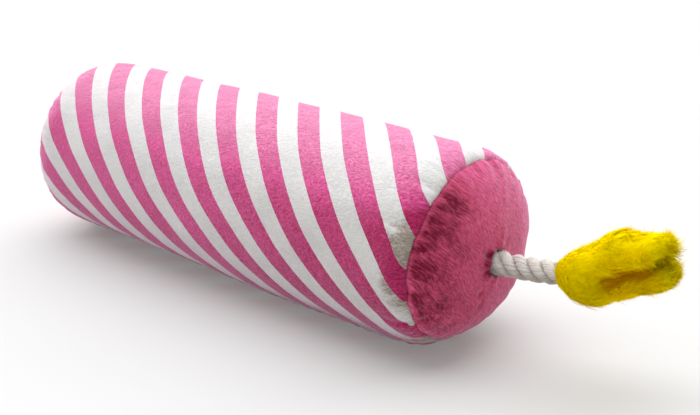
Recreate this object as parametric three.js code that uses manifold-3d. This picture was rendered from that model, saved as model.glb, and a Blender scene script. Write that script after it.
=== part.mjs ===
// A plush bolster toy in the shape of a candle: a stuffed striped sleeve with a round panel on each end,
// a short three-strand rope as the wick, and a faux-fur flame on the rope's end.
// Millimetres, +Z up, +X along the body towards the flame. The origin is under the middle of the whole object,
// on the surface it lies on.
import * as THREE from "three";
import { mergeVertices } from "three/addons/utils/BufferGeometryUtils.js";
import Module from "manifold-3d";

const wasm = await Module();
wasm.setup();

// ---- driving dimensions (mm) ----
const BODY_R = 42.2; // outside of the plush sleeve
const BODY_LEN = 233; // from one ring seam to the other
const REST_H = 38.6; // the axis above the surface: the soft body flattens under its own weight
const CLOTH = 2.0; // plush backing and pile root
const GAP = 0.35; // clearance between touching pieces
const SEAM_R = 37.0; // radius of the ring seams, drawn in from the sleeve
const SHOULDER = 13.5; // length over which the sleeve rounds in to the ring seam
const ALLOW = 6.0; // turned-in seam allowance
const DOME = 12.3; // how far the end panels bulge at the middle
const HOLE_R = 7.5; // wick hole in the front panel
const DIMPLE = 1.6; // the stitches draw the panel in round the hole
const SEAM_ANGLE = -64; // lengthwise seam, degrees from -Y towards +Z (near the underside)
const TURN_GAP = 62; // length of the hand-closed gap in that seam
const THREAD_R = 0.35;
const RING_STITCHES = 14;
const TACK_STITCHES = 6;
const EDGE_STITCHES = 12;
const ROOM_R = 0.98; // square passage that a thread runs in, corner radius
const SEGS = 28; // facets round the body

const ROPE_R = 4.67; // outside radius of the wick
const LAY_R = 2.95; // radius of the strands' own centre lines
const STRAND_R = 1.7;
const LAY_PITCH = 18.6;
const WICK_IN = 12; // length behind the panel
const WICK_OUT = 29; // length that shows
const WICK_TIP = 5.5; // length inside the flame
const WICK_YAW = 4; // degrees, rest direction of the wick's end
const WICK_PITCH = 9;

const FLAME_YAW = 6;
const FLAME_PITCH = 22.5;
const FLAME_LEN = 47.8;
const FLAME_W = 16.2; // half width
const FLAME_T = 11.4; // half thickness
const FLAME_WALL = 3.0; // backing and matted pile root
const NECK_R = 7.3; // outside of the flame at its neck

const BULB_R = 17.5;
const BULB_WALL = 1.3;
const BULB_NECK_R = 6.0;
const BULB_NECK_LEN = 6.5;
const BULB_X = -BODY_LEN / 2;

const X = new THREE.Vector3(1, 0, 0);
const rad = THREE.MathUtils.degToRad;

// ---- helpers ----
function solid(geometry) {
  let g = geometry.index ? geometry.toNonIndexed() : geometry.clone();
  g = new THREE.BufferGeometry().setAttribute("position", g.getAttribute("position"));
  g = mergeVertices(g, 1e-3);
  const made = new wasm.Manifold(
    new wasm.Mesh({
      numProp: 3,
      vertProperties: new Float32Array(g.attributes.position.array),
      triVerts: new Uint32Array(g.index.array),
    }),
  );
  return made;
}
function geometryOf(manifold) {
  const m = manifold.getMesh(),
    n = m.numProp,
    v = new Float32Array(m.numVert * 3);
  for (let i = 0; i < m.numVert; i++)
    v.set(m.vertProperties.subarray(i * n, i * n + 3), i * 3);
  return new THREE.BufferGeometry()
    .setAttribute("position", new THREE.BufferAttribute(v, 3))
    .setIndex(new THREE.BufferAttribute(new Uint32Array(m.triVerts), 1));
}
// A LatheGeometry round the X axis. points are [x, radius, depth]: depth is how far the point lies inside the
// body's outer surface, which sets where the flattened underside stops it.
function turned(points, segs = SEGS, flat = null) {
  const g = new THREE.LatheGeometry(
    points.map((p) => new THREE.Vector2(p[1], p[0])),
    segs,
    Math.PI / 2 + Math.PI / segs,
  );
  g.rotateZ(-Math.PI / 2); // +Y -> +X
  if (flat !== null) {
    const pos = g.attributes.position;
    for (let i = 0; i < pos.count; i++) {
      const h = flat - (points[i % points.length][2] ?? 0);
      if (pos.getZ(i) < -h) pos.setZ(i, -h);
    }
  }
  return g;
}
// A line through points with its corners kept, one step to each point.
class Route extends THREE.Curve {
  constructor(points) {
    super();
    this.points = points;
  }
  getPoint(t, target = new THREE.Vector3()) {
    const last = this.points.length - 1,
      i = Math.min(Math.floor(t * last + 1e-6), last),
      j = Math.min(i + 1, last);
    return target.lerpVectors(this.points[i], this.points[j], Math.max(t * last - i, 0));
  }
  getPointAt(u, target) {
    return this.getPoint(u, target);
  }
  getTangent(t, target = new THREE.Vector3()) {
    const last = this.points.length - 1,
      i = Math.round(t * last),
      a = this.points[Math.max(i - 1, 0)],
      b = this.points[i],
      c = this.points[Math.min(i + 1, last)];
    const back = b.clone().sub(a),
      on = c.clone().sub(b);
    if (i > 0) back.normalize();
    if (i < last) on.normalize();
    return target.copy(back).add(on).normalize();
  }
  getTangentAt(u, target) {
    return this.getTangent(u, target);
  }
}
// Running stitches: each place in turn is crossed from one face of the cloth to the other.
function stitched(places, across) {
  const pts = [];
  places.forEach((p, i) => {
    const s = i % 2 ? 1 : -1;
    pts.push(p.clone().addScaledVector(across, -s), p.clone().addScaledVector(across, s));
  });
  return pts;
}
const thread = (pts, r, n) => sweep(new Route(pts), r, pts.length - 1, n);
// A strand: a round section of n sides along a smooth curve.
const strand = (pts, r, steps, n) =>
  sweep(new THREE.CatmullRomCurve3(pts, false, "centripetal"), r, steps, n);
function sweep(curve, r, steps, n) {
  const shape = new THREE.Shape();
  for (let i = 0; i < n; i++) {
    const a = (2 * Math.PI * i) / n;
    if (i) shape.lineTo(r * Math.cos(a), r * Math.sin(a));
    else shape.moveTo(r * Math.cos(a), r * Math.sin(a));
  }
  shape.closePath();
  return new THREE.ExtrudeGeometry(shape, {
    steps,
    extrudePath: curve,
    bevelEnabled: false,
  });
}
// n places round the X axis
function ring(x, r, n) {
  const out = [];
  for (let i = 0; i < n; i++) {
    const a = (2 * Math.PI * (i + 0.5)) / n;
    out.push(new THREE.Vector3(x, r * Math.cos(a), r * Math.sin(a)));
  }
  return out;
}
function direction(yaw, pitch) {
  return new THREE.Vector3(
    Math.cos(rad(yaw)) * Math.cos(rad(pitch)),
    Math.sin(rad(yaw)) * Math.cos(rad(pitch)),
    Math.sin(rad(pitch)),
  );
}
function block(x0, x1, y0, y1, z0, z1) {
  return new THREE.BoxGeometry(x1 - x0, y1 - y0, z1 - z0).translate(
    (x0 + x1) / 2,
    (y0 + y1) / 2,
    (z0 + z1) / 2,
  );
}

const root = new THREE.Group();
root.name = "plush_candle_toy";
function piece(name, geometry, color, roughness, parent = root, metalness = 0) {
  const mesh = new THREE.Mesh(
    geometry,
    new THREE.MeshStandardMaterial({ color, roughness, metalness }),
  );
  mesh.name = name;
  parent.add(mesh);
  return mesh;
}

// ---- threads of the body, made first so that the cloth can be pierced for them ----
// The front ring seam lies at x = 0, the rear one at x = -BODY_LEN.
const across = CLOTH + GAP / 2 + ROOM_R + 0.1; // a stitch clears the two turned-in allowances by this
const ringPath = (x0) =>
  stitched(ring(x0, SEAM_R - 3.2, RING_STITCHES), X.clone().multiplyScalar(across));
const ringThread = (x0) => thread(ringPath(x0), THREAD_R, 5);
const ringRoom = (x0) => solid(thread(ringPath(x0), ROOM_R, 4));
const seamDir = new THREE.Vector3(0, -Math.cos(rad(SEAM_ANGLE)), Math.sin(rad(SEAM_ANGLE)));
const seamSide = new THREE.Vector3().crossVectors(X, seamDir);
function seamPath(xa, xb, n, radius) {
  const places = [];
  for (let i = 0; i <= n; i++)
    places.push(new THREE.Vector3(xa + ((xb - xa) * i) / n, 0, 0).addScaledVector(seamDir, radius));
  return stitched(places, seamSide.clone().multiplyScalar(1.5 + GAP / 2 + ROOM_R + 0.1));
}
const seamR = BODY_R - CLOTH - 2.2;
const xFrontSeam = [-SHOULDER - 6, -BODY_LEN / 2 + TURN_GAP / 2 + 3];
const xGap = [-BODY_LEN / 2 + TURN_GAP / 2 - 2, -BODY_LEN / 2 - TURN_GAP / 2 + 2];
const xRearSeam = [-BODY_LEN / 2 - TURN_GAP / 2 - 3, -BODY_LEN + SHOULDER + 6];
const seamPaths = [
  seamPath(...xFrontSeam, 5, seamR),
  seamPath(...xGap, 7, seamR),
  seamPath(...xRearSeam, 5, seamR),
];

// ---- sleeve ----
function shoulder(sign, x0, depth, n = 4) {
  // quarter of an ellipse from the full radius to the ring seam
  const out = [];
  for (let i = 0; i <= n; i++) {
    const t = i / n,
      a = (t * Math.PI) / 2,
      k = BODY_R - SEAM_R;
    out.push([
      x0 - sign * (SHOULDER * (1 - Math.sin(a))),
      SEAM_R + k * Math.cos(a) - depth,
      depth,
    ]);
  }
  return out;
}
const g2 = GAP / 2;
const outer = [
  // from the rear flap's inner end, out over the body, to the front flap's inner end
  [-BODY_LEN + g2, SEAM_R - ALLOW, 0],
  [-BODY_LEN + g2, SEAM_R - 0.4, 0],
  ...shoulder(-1, -BODY_LEN + g2 + 0.5, 0).reverse(),
  [-BODY_LEN * 0.75, BODY_R, 0],
  [-BODY_LEN * 0.5, BODY_R, 0],
  [-BODY_LEN * 0.25, BODY_R, 0],
  ...shoulder(1, -g2 - 0.5, 0),
  [-g2, SEAM_R - 0.4, 0],
  [-g2, SEAM_R - ALLOW, 0],
];
const inner = [
  [-g2 - CLOTH, SEAM_R - ALLOW, CLOTH],
  [-g2 - CLOTH, SEAM_R - CLOTH - 0.6, CLOTH],
  [-g2 - CLOTH - 5, BODY_R - CLOTH - 2.6, CLOTH],
  [-g2 - CLOTH - 11.5, BODY_R - CLOTH, CLOTH],
  [-BODY_LEN * 0.5, BODY_R - CLOTH, CLOTH],
  [-BODY_LEN + g2 + CLOTH + 11.5, BODY_R - CLOTH, CLOTH],
  [-BODY_LEN + g2 + CLOTH + 5, BODY_R - CLOTH - 2.6, CLOTH],
  [-BODY_LEN + g2 + CLOTH, SEAM_R - CLOTH - 0.6, CLOTH],
  [-BODY_LEN + g2 + CLOTH, SEAM_R - ALLOW, CLOTH],
];
let sleeve = solid(turned([...outer, ...inner, outer[0]].reverse(), SEGS, REST_H));
if (sleeve.volume() < 0)
  sleeve = solid(turned([...outer, ...inner, outer[0]], SEGS, REST_H));
// the lengthwise seam's two allowances, turned in, and the slit between them
function strip(side0, side1, r0, r1, xa, xb) {
  const g = block(xa, xb, r0, r1, side0, side1);
  const m = new THREE.Matrix4().makeBasis(X, seamDir, seamSide);
  return g.applyMatrix4(m);
}
const slit = solid(strip(-g2, g2, BODY_R - 14, BODY_R + 5, -BODY_LEN - 5, 5));
const flapA = solid(
  strip(g2, g2 + 1.5, BODY_R - CLOTH - ALLOW + 1, BODY_R - CLOTH + 0.7, -BODY_LEN + SHOULDER + 2, -SHOULDER - 2),
);
const flapB = solid(
  strip(-g2 - 1.5, -g2, BODY_R - CLOTH - ALLOW + 1, BODY_R - CLOTH + 0.7, -BODY_LEN + SHOULDER + 2, -SHOULDER - 2),
);
sleeve = sleeve.add(flapA).add(flapB).subtract(slit);
for (const pts of seamPaths)
  sleeve = sleeve.subtract(solid(thread(pts, ROOM_R, 4)));
sleeve = sleeve.subtract(ringRoom(0)).subtract(ringRoom(-BODY_LEN));

// ---- end panels ----
function panelProfile(sign, x0, holeR, dimple) {
  // x0 is the ring seam, sign +1 at the front
  const n = 6,
    outerPts = [],
    innerPts = [];
  const bulge = (t) => DOME * Math.pow(Math.max(1 - Math.pow(t, 2.6), 0), 0.6);
  for (let i = 0; i <= n; i++) {
    const r = SEAM_R * Math.sin((i / n) * Math.PI * 0.5),
      t = r / SEAM_R,
      d = dimple * Math.exp(-Math.pow((r - holeR) / 7, 2));
    outerPts.push([x0 + sign * (g2 + 0.35 + CLOTH + bulge(t) - d - (i === n ? CLOTH * 0.4 : 0)), Math.max(r, holeR)]);
  }
  // hairpin fold into the allowance
  outerPts.push([x0 + sign * (g2 + 0.1), SEAM_R - 0.4], [x0 + sign * g2, SEAM_R - ALLOW]);
  for (let i = 0; i <= n; i++) {
    const r = (SEAM_R - CLOTH - 0.5) * Math.sin((i / n) * Math.PI * 0.5),
      t = r / SEAM_R,
      d = dimple * Math.exp(-Math.pow((r - holeR) / 7, 2));
    innerPts.push([x0 + sign * (g2 + 0.35 + bulge(t) * 0.985 - d), Math.max(r, holeR)]);
  }
  // the last inner points stay clear of the flap
  innerPts[n] = [x0 + sign * (g2 + CLOTH), SEAM_R - CLOTH - 0.8];
  const pts = [...outerPts, [x0 + sign * (g2 + CLOTH), SEAM_R - ALLOW], ...innerPts.reverse()];
  return pts;
}
function panelSolid(sign, x0, holeR, dimple) {
  let pts = panelProfile(sign, x0, holeR, dimple).filter(
    (p, i, a) => !i || Math.hypot(p[0] - a[i - 1][0], p[1] - a[i - 1][1]) > 0.05,
  );
  pts = holeR > 0 ? [...pts, pts[0]] : pts;
  if (holeR === 0) {
    pts[0][1] = 0;
    pts[pts.length - 1][1] = 0;
  }
  let s = solid(turned(pts, SEGS));
  if (s.volume() < 0) s = solid(turned(pts.reverse(), SEGS));
  return s;
}
const tackPath = stitched(
  ring(DOME + CLOTH - DIMPLE - 0.65, 10.1, TACK_STITCHES),
  X.clone().multiplyScalar(CLOTH / 2 + 0.8),
);
let frontPanel = panelSolid(1, 0, HOLE_R, DIMPLE)
  .subtract(ringRoom(0))
  .subtract(solid(thread(tackPath, ROOM_R, 4)));
let rearPanel = panelSolid(-1, -BODY_LEN, 0, 0).subtract(ringRoom(-BODY_LEN));

piece("striped_sleeve", geometryOf(sleeve), 0xd2608f, 0.92);
piece("front_end_panel", geometryOf(frontPanel), 0xb24a6d, 0.92);
piece("rear_end_panel", geometryOf(rearPanel), 0xb24a6d, 0.92);
piece("front_seam_thread", ringThread(0), 0xa03c5e, 0.7);
piece("rear_seam_thread", ringThread(-BODY_LEN), 0xa03c5e, 0.7);
const [tFront, tClose, tRear] = seamPaths.map((pts) =>
  thread(pts, THREAD_R, 5),
);
piece("sleeve_seam_thread_front", tFront, 0xe8e4dc, 0.7);
piece("closing_thread", tClose, 0xe8e4dc, 0.7);
piece("sleeve_seam_thread_rear", tRear, 0xe8e4dc, 0.7);
piece("wick_tack_thread", thread(tackPath, THREAD_R, 5), 0xa03c5e, 0.7);

// ---- filling, with a pocket for the squeaker and one for the wick's inner end, joined by a channel ----
const fillR = BODY_R - CLOTH - GAP,
  c0 = GAP + CLOTH;
let filling = solid(
  turned(
    [
      [-BODY_LEN + c0 + GAP, 0, 30],
      [-BODY_LEN + c0 + GAP, SEAM_R - ALLOW - 2, 8],
      [-BODY_LEN + c0 + GAP, SEAM_R - CLOTH - 3.2, 6],
      [-BODY_LEN + c0 + 6, fillR - 4, CLOTH + GAP + 2],
      [-BODY_LEN + c0 + 13, fillR, CLOTH + GAP],
      [-BODY_LEN * 0.5, fillR, CLOTH + GAP],
      [-c0 - 13, fillR, CLOTH + GAP],
      [-c0 - 6, fillR - 4, CLOTH + GAP + 2],
      [-c0 - GAP, SEAM_R - CLOTH - 3.2, 6],
      [-c0 - GAP, SEAM_R - ALLOW - 2, 8],
      [-c0 - GAP, 0, 30],
    ],
    SEGS,
    REST_H,
  ),
);
const frontX = DOME + CLOTH - DIMPLE + 0.35 + g2; // outside of the panel at the hole
const hole = new THREE.Vector3(frontX - 1, 0, 0); // where the wick bends: in the middle of the panel's cloth
const pocket = solid(
  turned(
    [
      [BULB_X, 0],
      [BULB_X, 9],
      [-16, 9],
      [-16, 14.6],
      [6, 14.6],
      [6, 0],
    ],
    12,
  ),
);
const bulbRoom = solid(new THREE.SphereGeometry(BULB_R + 1.6, 14, 10).translate(BULB_X, 0, 0));
const neckRoom = solid(
  new THREE.CylinderGeometry(BULB_NECK_R + 2.4, BULB_NECK_R + 2.4, 16, 10)
    .rotateX(Math.PI / 2)
    .translate(BULB_X, 0, -BULB_R - 5),
);
const seamRoom = solid(strip(-3.6, 3.6, BODY_R - CLOTH - ALLOW - 0.6, BODY_R + 3, -BODY_LEN + SHOULDER, -SHOULDER));
const threadRoomF = solid(
  turned(
    [
      [-c0 - 2.2, SEAM_R - ALLOW - 1],
      [-c0 - 2.2, SEAM_R + 1],
      [1, SEAM_R + 1],
      [1, SEAM_R - ALLOW - 1],
      [-c0 - 2.2, SEAM_R - ALLOW - 1],
    ],
    24,
  ),
);
filling = filling
  .subtract(pocket)
  .subtract(bulbRoom)
  .subtract(neckRoom)
  .subtract(seamRoom)
  .subtract(threadRoomF)
  .subtract(threadRoomF.translate([-BODY_LEN + c0 + 1.2, 0, 0]));
piece("body_filling", geometryOf(filling), 0xf2f1ec, 1.0);

// ---- squeaker: a blown bulb with its neck down, a reed holder plugged into the neck, and the reed ----
const squeaker = new THREE.Group();
squeaker.position.set(BULB_X, 0, 0);
root.add(squeaker);
const bulbProfile = [];
const nb = 8,
  startA = Math.asin(BULB_NECK_R / BULB_R);
for (let i = 0; i <= nb; i++) {
  const a = -Math.PI / 2 + startA + ((Math.PI - startA) * i) / nb;
  bulbProfile.push([i === nb ? 0 : BULB_R * Math.cos(a), BULB_R * Math.sin(a)]);
}
const ri = BULB_R - BULB_WALL,
  neckIn = BULB_NECK_R - BULB_WALL,
  startB = Math.asin(neckIn / ri),
  neckZ = -BULB_R * Math.cos(startA) - BULB_NECK_LEN;
for (let i = nb; i >= 0; i--) {
  const a = -Math.PI / 2 + startB + ((Math.PI - startB) * i) / nb;
  bulbProfile.push([i === nb ? 0 : ri * Math.cos(a), ri * Math.sin(a)]);
}
bulbProfile.push([neckIn, neckZ], [BULB_NECK_R, neckZ]);
bulbProfile.push(bulbProfile[0]);
function upright(points, segs) {
  const g = new THREE.LatheGeometry(
    points.map((p) => new THREE.Vector2(p[0], p[1])),
    segs,
  );
  g.rotateX(Math.PI / 2);
  return g;
}
function uprightSolid(points, segs) {
  let s = solid(upright(points, segs));
  if (s.volume() < 0) s = solid(upright([...points].reverse(), segs));
  return s;
}
// the bulb's profile meets the axis at its crown on both skins, so it is made as outer less inner
const bulbOuter = uprightSolid(
  [[0, neckZ], [BULB_NECK_R, neckZ], ...bulbProfile.slice(0, nb + 1)],
  16,
);
const bulbInner = uprightSolid(
  [[0, neckZ - 1], [neckIn, neckZ - 1], ...bulbProfile.slice(nb + 1, 2 * nb + 2).reverse()],
  16,
);
piece("squeaker_bulb", geometryOf(bulbOuter.subtract(bulbInner)), 0xe9e6dc, 0.35, squeaker);
const holderR = neckIn - 0.3;
const holder = uprightSolid(
  [
    [1.6, neckZ - 2],
    [BULB_NECK_R, neckZ - 2],
    [BULB_NECK_R, neckZ - 0.4],
    [holderR, neckZ - 0.4],
    [holderR, neckZ + 7],
    [1.6, neckZ + 7],
    [1.6, neckZ - 2],
  ],
  16,
).subtract(solid(block(-3.4, 3.4, -1.9, 1.9, neckZ + 5.2, neckZ + 8)));
piece("squeaker_reed_holder", geometryOf(holder), 0xf4f4f2, 0.4, squeaker);
piece(
  "squeaker_reed",
  block(-3.0, 3.0, -1.5, 1.5, neckZ + 5.6, neckZ + 5.9),
  0xc8b070,
  0.3,
  squeaker,
  0.8,
);

// ---- wick: three strands laid together along one gently rising line ----
const dirEnd = direction(WICK_YAW, WICK_PITCH);
const neck = hole
  .clone()
  .addScaledVector(direction(WICK_YAW * 0.6, WICK_PITCH * 0.62), WICK_OUT + 1);
const centre = new THREE.CatmullRomCurve3(
  [
    hole.clone().addScaledVector(X, -WICK_IN),
    hole.clone().addScaledVector(X, -WICK_IN / 2),
    hole.clone(),
    hole.clone().lerp(neck, 0.5).add(new THREE.Vector3(0.3, 0, -0.5)),
    neck.clone(),
    neck.clone().addScaledVector(dirEnd, WICK_TIP),
  ],
  false,
  "centripetal",
);
const ropeLen = centre.getLength(),
  strandSteps = 38;
function strandPoints(phase) {
  const pts = [],
    n = strandSteps,
    up = new THREE.Vector3(0, 0, 1);
  for (let i = 0; i <= n; i++) {
    const u = i / n,
      c = centre.getPointAt(u),
      t = centre.getTangentAt(u),
      side = new THREE.Vector3().crossVectors(up, t).normalize(),
      top = new THREE.Vector3().crossVectors(t, side).normalize(),
      a = phase + (2 * Math.PI * u * ropeLen) / LAY_PITCH;
    pts.push(
      c.addScaledVector(side, LAY_R * Math.cos(a)).addScaledVector(top, LAY_R * Math.sin(a)),
    );
  }
  return pts;
}
for (let k = 0; k < 3; k++)
  piece(
    "wick_strand_" + (k + 1),
    strand(strandPoints((k * 2 * Math.PI) / 3), STRAND_R, strandSteps, 7),
    0xd6d1c8,
    0.95,
  );
// whipping: turns of thread bound round the inner end
const whip = [],
  w0 = hole.x - WICK_IN + 1.2,
  turns = 3;
for (let i = 0; i <= turns * 2; i++)
  whip.push([w0 + i * 0.55, ROPE_R + 0.4 + (i % 2 ? 0.95 : 0.55)]);
whip.push([w0 + turns * 1.1, ROPE_R + 0.3], [w0, ROPE_R + 0.3]);
whip.push(whip[0]);
let whipping = solid(turned(whip, 16));
if (whipping.volume() < 0) whipping = solid(turned(whip.reverse(), 16));
piece("wick_whipping", geometryOf(whipping), 0xe8e4dc, 0.7);

// ---- flame: two fur panels sewn round their edge, filled, and bound to the wick ----
const flame = new THREE.Group();
flame.position.copy(neck);
flame.quaternion.setFromRotationMatrix(
  new THREE.Matrix4().makeBasis(
    direction(FLAME_YAW, FLAME_PITCH),
    new THREE.Vector3().crossVectors(new THREE.Vector3(0, 0, 1), direction(FLAME_YAW, FLAME_PITCH)).normalize(),
    new THREE.Vector3()
      .crossVectors(
        direction(FLAME_YAW, FLAME_PITCH),
        new THREE.Vector3().crossVectors(new THREE.Vector3(0, 0, 1), direction(FLAME_YAW, FLAME_PITCH)).normalize(),
      )
      .normalize(),
  ),
);
root.add(flame);
const flameHalf = [
  [0, NECK_R],
  [4, 10.9],
  [9, 13.7],
  [15, 15.5],
  [21, FLAME_W],
  [28, 16.1],
  [34, 15.0],
  [39, 13.1],
  [43, 10.4],
  [46, 6.2],
  [FLAME_LEN, 0],
];
const flameIn = flameHalf.map(([x, r], i) =>
  i === 0 ? [0, NECK_R - 1.5] : i === flameHalf.length - 1 ? [FLAME_LEN - FLAME_WALL, 0] : [x - (x > 30 ? 1.6 : 0), Math.max(r - FLAME_WALL, 1.2)],
);
// the flame is round at its neck and flattens over its first few millimetres
function flattened(g) {
  const pos = g.attributes.position;
  for (let i = 0; i < pos.count; i++)
    pos.setZ(
      i,
      pos.getZ(i) * THREE.MathUtils.lerp(1, FLAME_T / FLAME_W, THREE.MathUtils.smoothstep(pos.getX(i), 0, 12)),
    );
  return g;
}
function flameLathe(points, segs = 18) {
  let s = solid(flattened(turned(points, segs)));
  if (s.volume() < 0) s = solid(flattened(turned([...points].reverse(), segs)));
  return s;
}
const flameOuter = flameLathe([[0, 0], ...flameHalf]);
const flameHollow = flameLathe([[-1, 0], [-1, NECK_R - 1.5], ...flameIn]);
const neckHole = solid(turned([[-1, 0], [-1, 5.7], [0, 5.7], [3, 7.1], [6.5, 7.1], [6.5, 0]], 18));
const seamOutline = [];
for (const [x, r] of flameHalf.slice(1, -1)) seamOutline.push([x + 0.2, r - 1.4]);
const edge = [
  ...seamOutline.map(([x, r]) => [x, r]),
  [FLAME_LEN - 1.6, 0],
  ...[...seamOutline].reverse().map(([x, r]) => [x, -r]),
];
const edgeCurve = new THREE.CatmullRomCurve3(edge.map(([x, y]) => new THREE.Vector3(x, y, 0)));
const edgePlaces = [];
for (let i = 0; i < EDGE_STITCHES; i++)
  edgePlaces.push(edgeCurve.getPointAt(i / (EDGE_STITCHES - 1)));
const edgePts = stitched(edgePlaces, new THREE.Vector3(0, 0, 1.6));
let shell = flameOuter.subtract(flameHollow).subtract(neckHole);
const cutEdge = solid(thread(edgePts, ROOM_R, 4));
const upper = shell.intersect(solid(block(-5, 60, -40, 40, GAP / 2, 40))).subtract(cutEdge);
const lower = shell.intersect(solid(block(-5, 60, -40, 40, -40, -GAP / 2))).subtract(cutEdge);
piece("flame_upper_panel", geometryOf(upper), 0xeed201, 0.95, flame);
piece("flame_lower_panel", geometryOf(lower), 0xe2c203, 0.95, flame);
piece("flame_seam_thread", thread(edgePts, THREAD_R, 5), 0xd8b800, 0.7, flame);
// filling: stops short of the wick's tip, with room for it to turn
const fillPts = flameIn.slice(2).map(([x, r], i, a) =>
  i === a.length - 1 ? [x - 0.8, 0] : [x, Math.max(r - 0.45, 0.8)],
);
const flameFill = flameLathe([[fillPts[0][0], 0], ...fillPts], 20).subtract(cutEdge);
piece("flame_filling", geometryOf(flameFill), 0xf2f1ec, 1.0, flame);
piece(
  "flame_neck_thread",
  (() => {
    const rr = NECK_R + 0.75,
      pts = [];
    for (let i = 0; i <= 6; i++) {
      const a = (2 * Math.PI * i) / 6;
      pts.push([1.1 + 0.55 * Math.cos(a) - 1.6, rr + 0.55 * Math.sin(a)]);
    }
    let s = solid(turned(pts, 18));
    if (s.volume() < 0) s = solid(turned(pts.reverse(), 18));
    return geometryOf(s);
  })(),
  0xd8b800,
  0.7,
  flame,
);

// ---- the object's frame: middle of its length, on the surface ----
root.updateMatrixWorld(true);
const box = new THREE.Box3().setFromObject(root, true);
root.position.set(-(box.min.x + box.max.x) / 2, 0, REST_H);
root.userData.offset = root.position.toArray();
root.userData.hole = hole.toArray();
root.userData.neck = neck.toArray();
root.updateMatrixWorld(true);

export default root;
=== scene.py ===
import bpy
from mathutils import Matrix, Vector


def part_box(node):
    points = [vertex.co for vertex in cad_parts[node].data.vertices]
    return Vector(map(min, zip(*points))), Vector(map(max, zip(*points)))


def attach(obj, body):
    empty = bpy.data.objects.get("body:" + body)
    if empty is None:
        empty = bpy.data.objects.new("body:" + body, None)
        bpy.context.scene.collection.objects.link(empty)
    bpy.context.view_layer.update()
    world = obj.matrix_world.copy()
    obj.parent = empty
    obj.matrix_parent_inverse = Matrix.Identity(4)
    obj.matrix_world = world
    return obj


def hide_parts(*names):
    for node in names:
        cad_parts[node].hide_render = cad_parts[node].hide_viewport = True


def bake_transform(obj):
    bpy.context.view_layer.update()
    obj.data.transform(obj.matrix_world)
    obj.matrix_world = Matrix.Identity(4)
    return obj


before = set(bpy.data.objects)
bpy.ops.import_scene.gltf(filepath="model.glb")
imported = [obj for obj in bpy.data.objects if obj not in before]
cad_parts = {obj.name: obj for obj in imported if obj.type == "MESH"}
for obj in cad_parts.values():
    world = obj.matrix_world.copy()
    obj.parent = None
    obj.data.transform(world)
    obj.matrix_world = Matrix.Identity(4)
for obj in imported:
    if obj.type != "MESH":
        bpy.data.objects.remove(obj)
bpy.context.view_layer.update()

import math

import bpy
import numpy as np
from mathutils import Matrix, Vector

# Shapes are worked out in millimetres with x = 0 at the front ring seam and y = z = 0 on the body's axis,
# and go into the row frame by adding SHIFT.
MM = 0.001
SHIFT = np.array([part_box("striped_sleeve")[1].x / MM + 0.175, 0.0, 38.6])
REST = 38.6  # the axis above the surface

BODY_LEN = 233.0
SKIN_R = 42.35
SEAM_R = 37.0
SHOULDER = 13.5
SEAM_ANGLE = math.radians(-64)
HOLE = np.array([12.225, 0.0, 0.0])
NECK = np.array([42.0567, 1.2503, 2.9171])

# ------------------------------------------------------------------ camera
SHIFT_FIT = 82.0665  # where the front seam lay when the view was fitted
cam_data = bpy.data.cameras.new("camera")
cam = bpy.data.objects.new("camera", cam_data)
bpy.context.scene.collection.objects.link(cam)
cam_data.sensor_fit = "HORIZONTAL"
cam_data.sensor_width = 36.0
cam_data.lens = 65.23
cam_data.clip_start = 0.01
cam_data.clip_end = 100
cam_at = Vector((0.36334 + (SHIFT[0] - SHIFT_FIT) * MM, -0.37822, 0.22172))
cam.matrix_world = Matrix(
    (
        (0.73924, -0.22197, 0.63581, cam_at.x),
        (0.67344, 0.24365, -0.69793, cam_at.y),
        (0.0, 0.94412, 0.32960, cam_at.z),
        (0, 0, 0, 1),
    )
)
bpy.context.scene.camera = cam


# ------------------------------------------------------------------ noise and maths
class Noise:
    """Gradient noise in three dimensions, about -1 to 1."""

    def __init__(self, seed):
        rng = np.random.default_rng(seed)
        self.p = np.tile(rng.permutation(256), 3)
        g = rng.normal(size=(256, 3))
        self.g = g / np.linalg.norm(g, axis=1, keepdims=True)

    def __call__(self, x, y, z=0.0):
        x, y, z = np.broadcast_arrays(
            np.asarray(x, float), np.asarray(y, float), np.asarray(z, float)
        )
        xi, yi, zi = (np.floor(v).astype(np.int64) for v in (x, y, z))
        xf, yf, zf = x - xi, y - yi, z - zi
        u, v, w = (t * t * t * (t * (t * 6 - 15) + 10) for t in (xf, yf, zf))
        out = np.zeros_like(x)
        for dx in (0, 1):
            for dy in (0, 1):
                for dz in (0, 1):
                    h = self.p[
                        self.p[self.p[(xi + dx) & 255] + ((yi + dy) & 255)]
                        + ((zi + dz) & 255)
                    ]
                    g = self.g[h]
                    dot = (
                        g[..., 0] * (xf - dx) + g[..., 1] * (yf - dy) + g[..., 2] * (zf - dz)
                    )
                    out += (
                        dot
                        * (u if dx else 1 - u)
                        * (v if dy else 1 - v)
                        * (w if dz else 1 - w)
                    )
        return out * 1.6


def smooth(a, b, x):
    t = np.clip((x - a) / (b - a), 0, 1)
    return t * t * (3 - 2 * t)


def unit(v):
    return v / np.maximum(np.linalg.norm(v, axis=-1, keepdims=True), 1e-12)


def settle(z, k=1.5, floor=-REST):
    """Soft stuffing goes flat where it rests: heights below the floor come up to it smoothly."""
    d = z - floor
    return floor + 0.5 * (d + np.sqrt(d * d + k * k))


def along(points, n, closed=False):
    """n points evenly spaced along a polyline."""
    points = np.asarray(points, float)
    step = np.linalg.norm(np.diff(points, axis=0), axis=1)
    s = np.concatenate([[0], np.cumsum(step)])
    t = np.linspace(0, s[-1], n)
    return np.stack([np.interp(t, s, points[:, k]) for k in range(points.shape[1])], 1)


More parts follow.
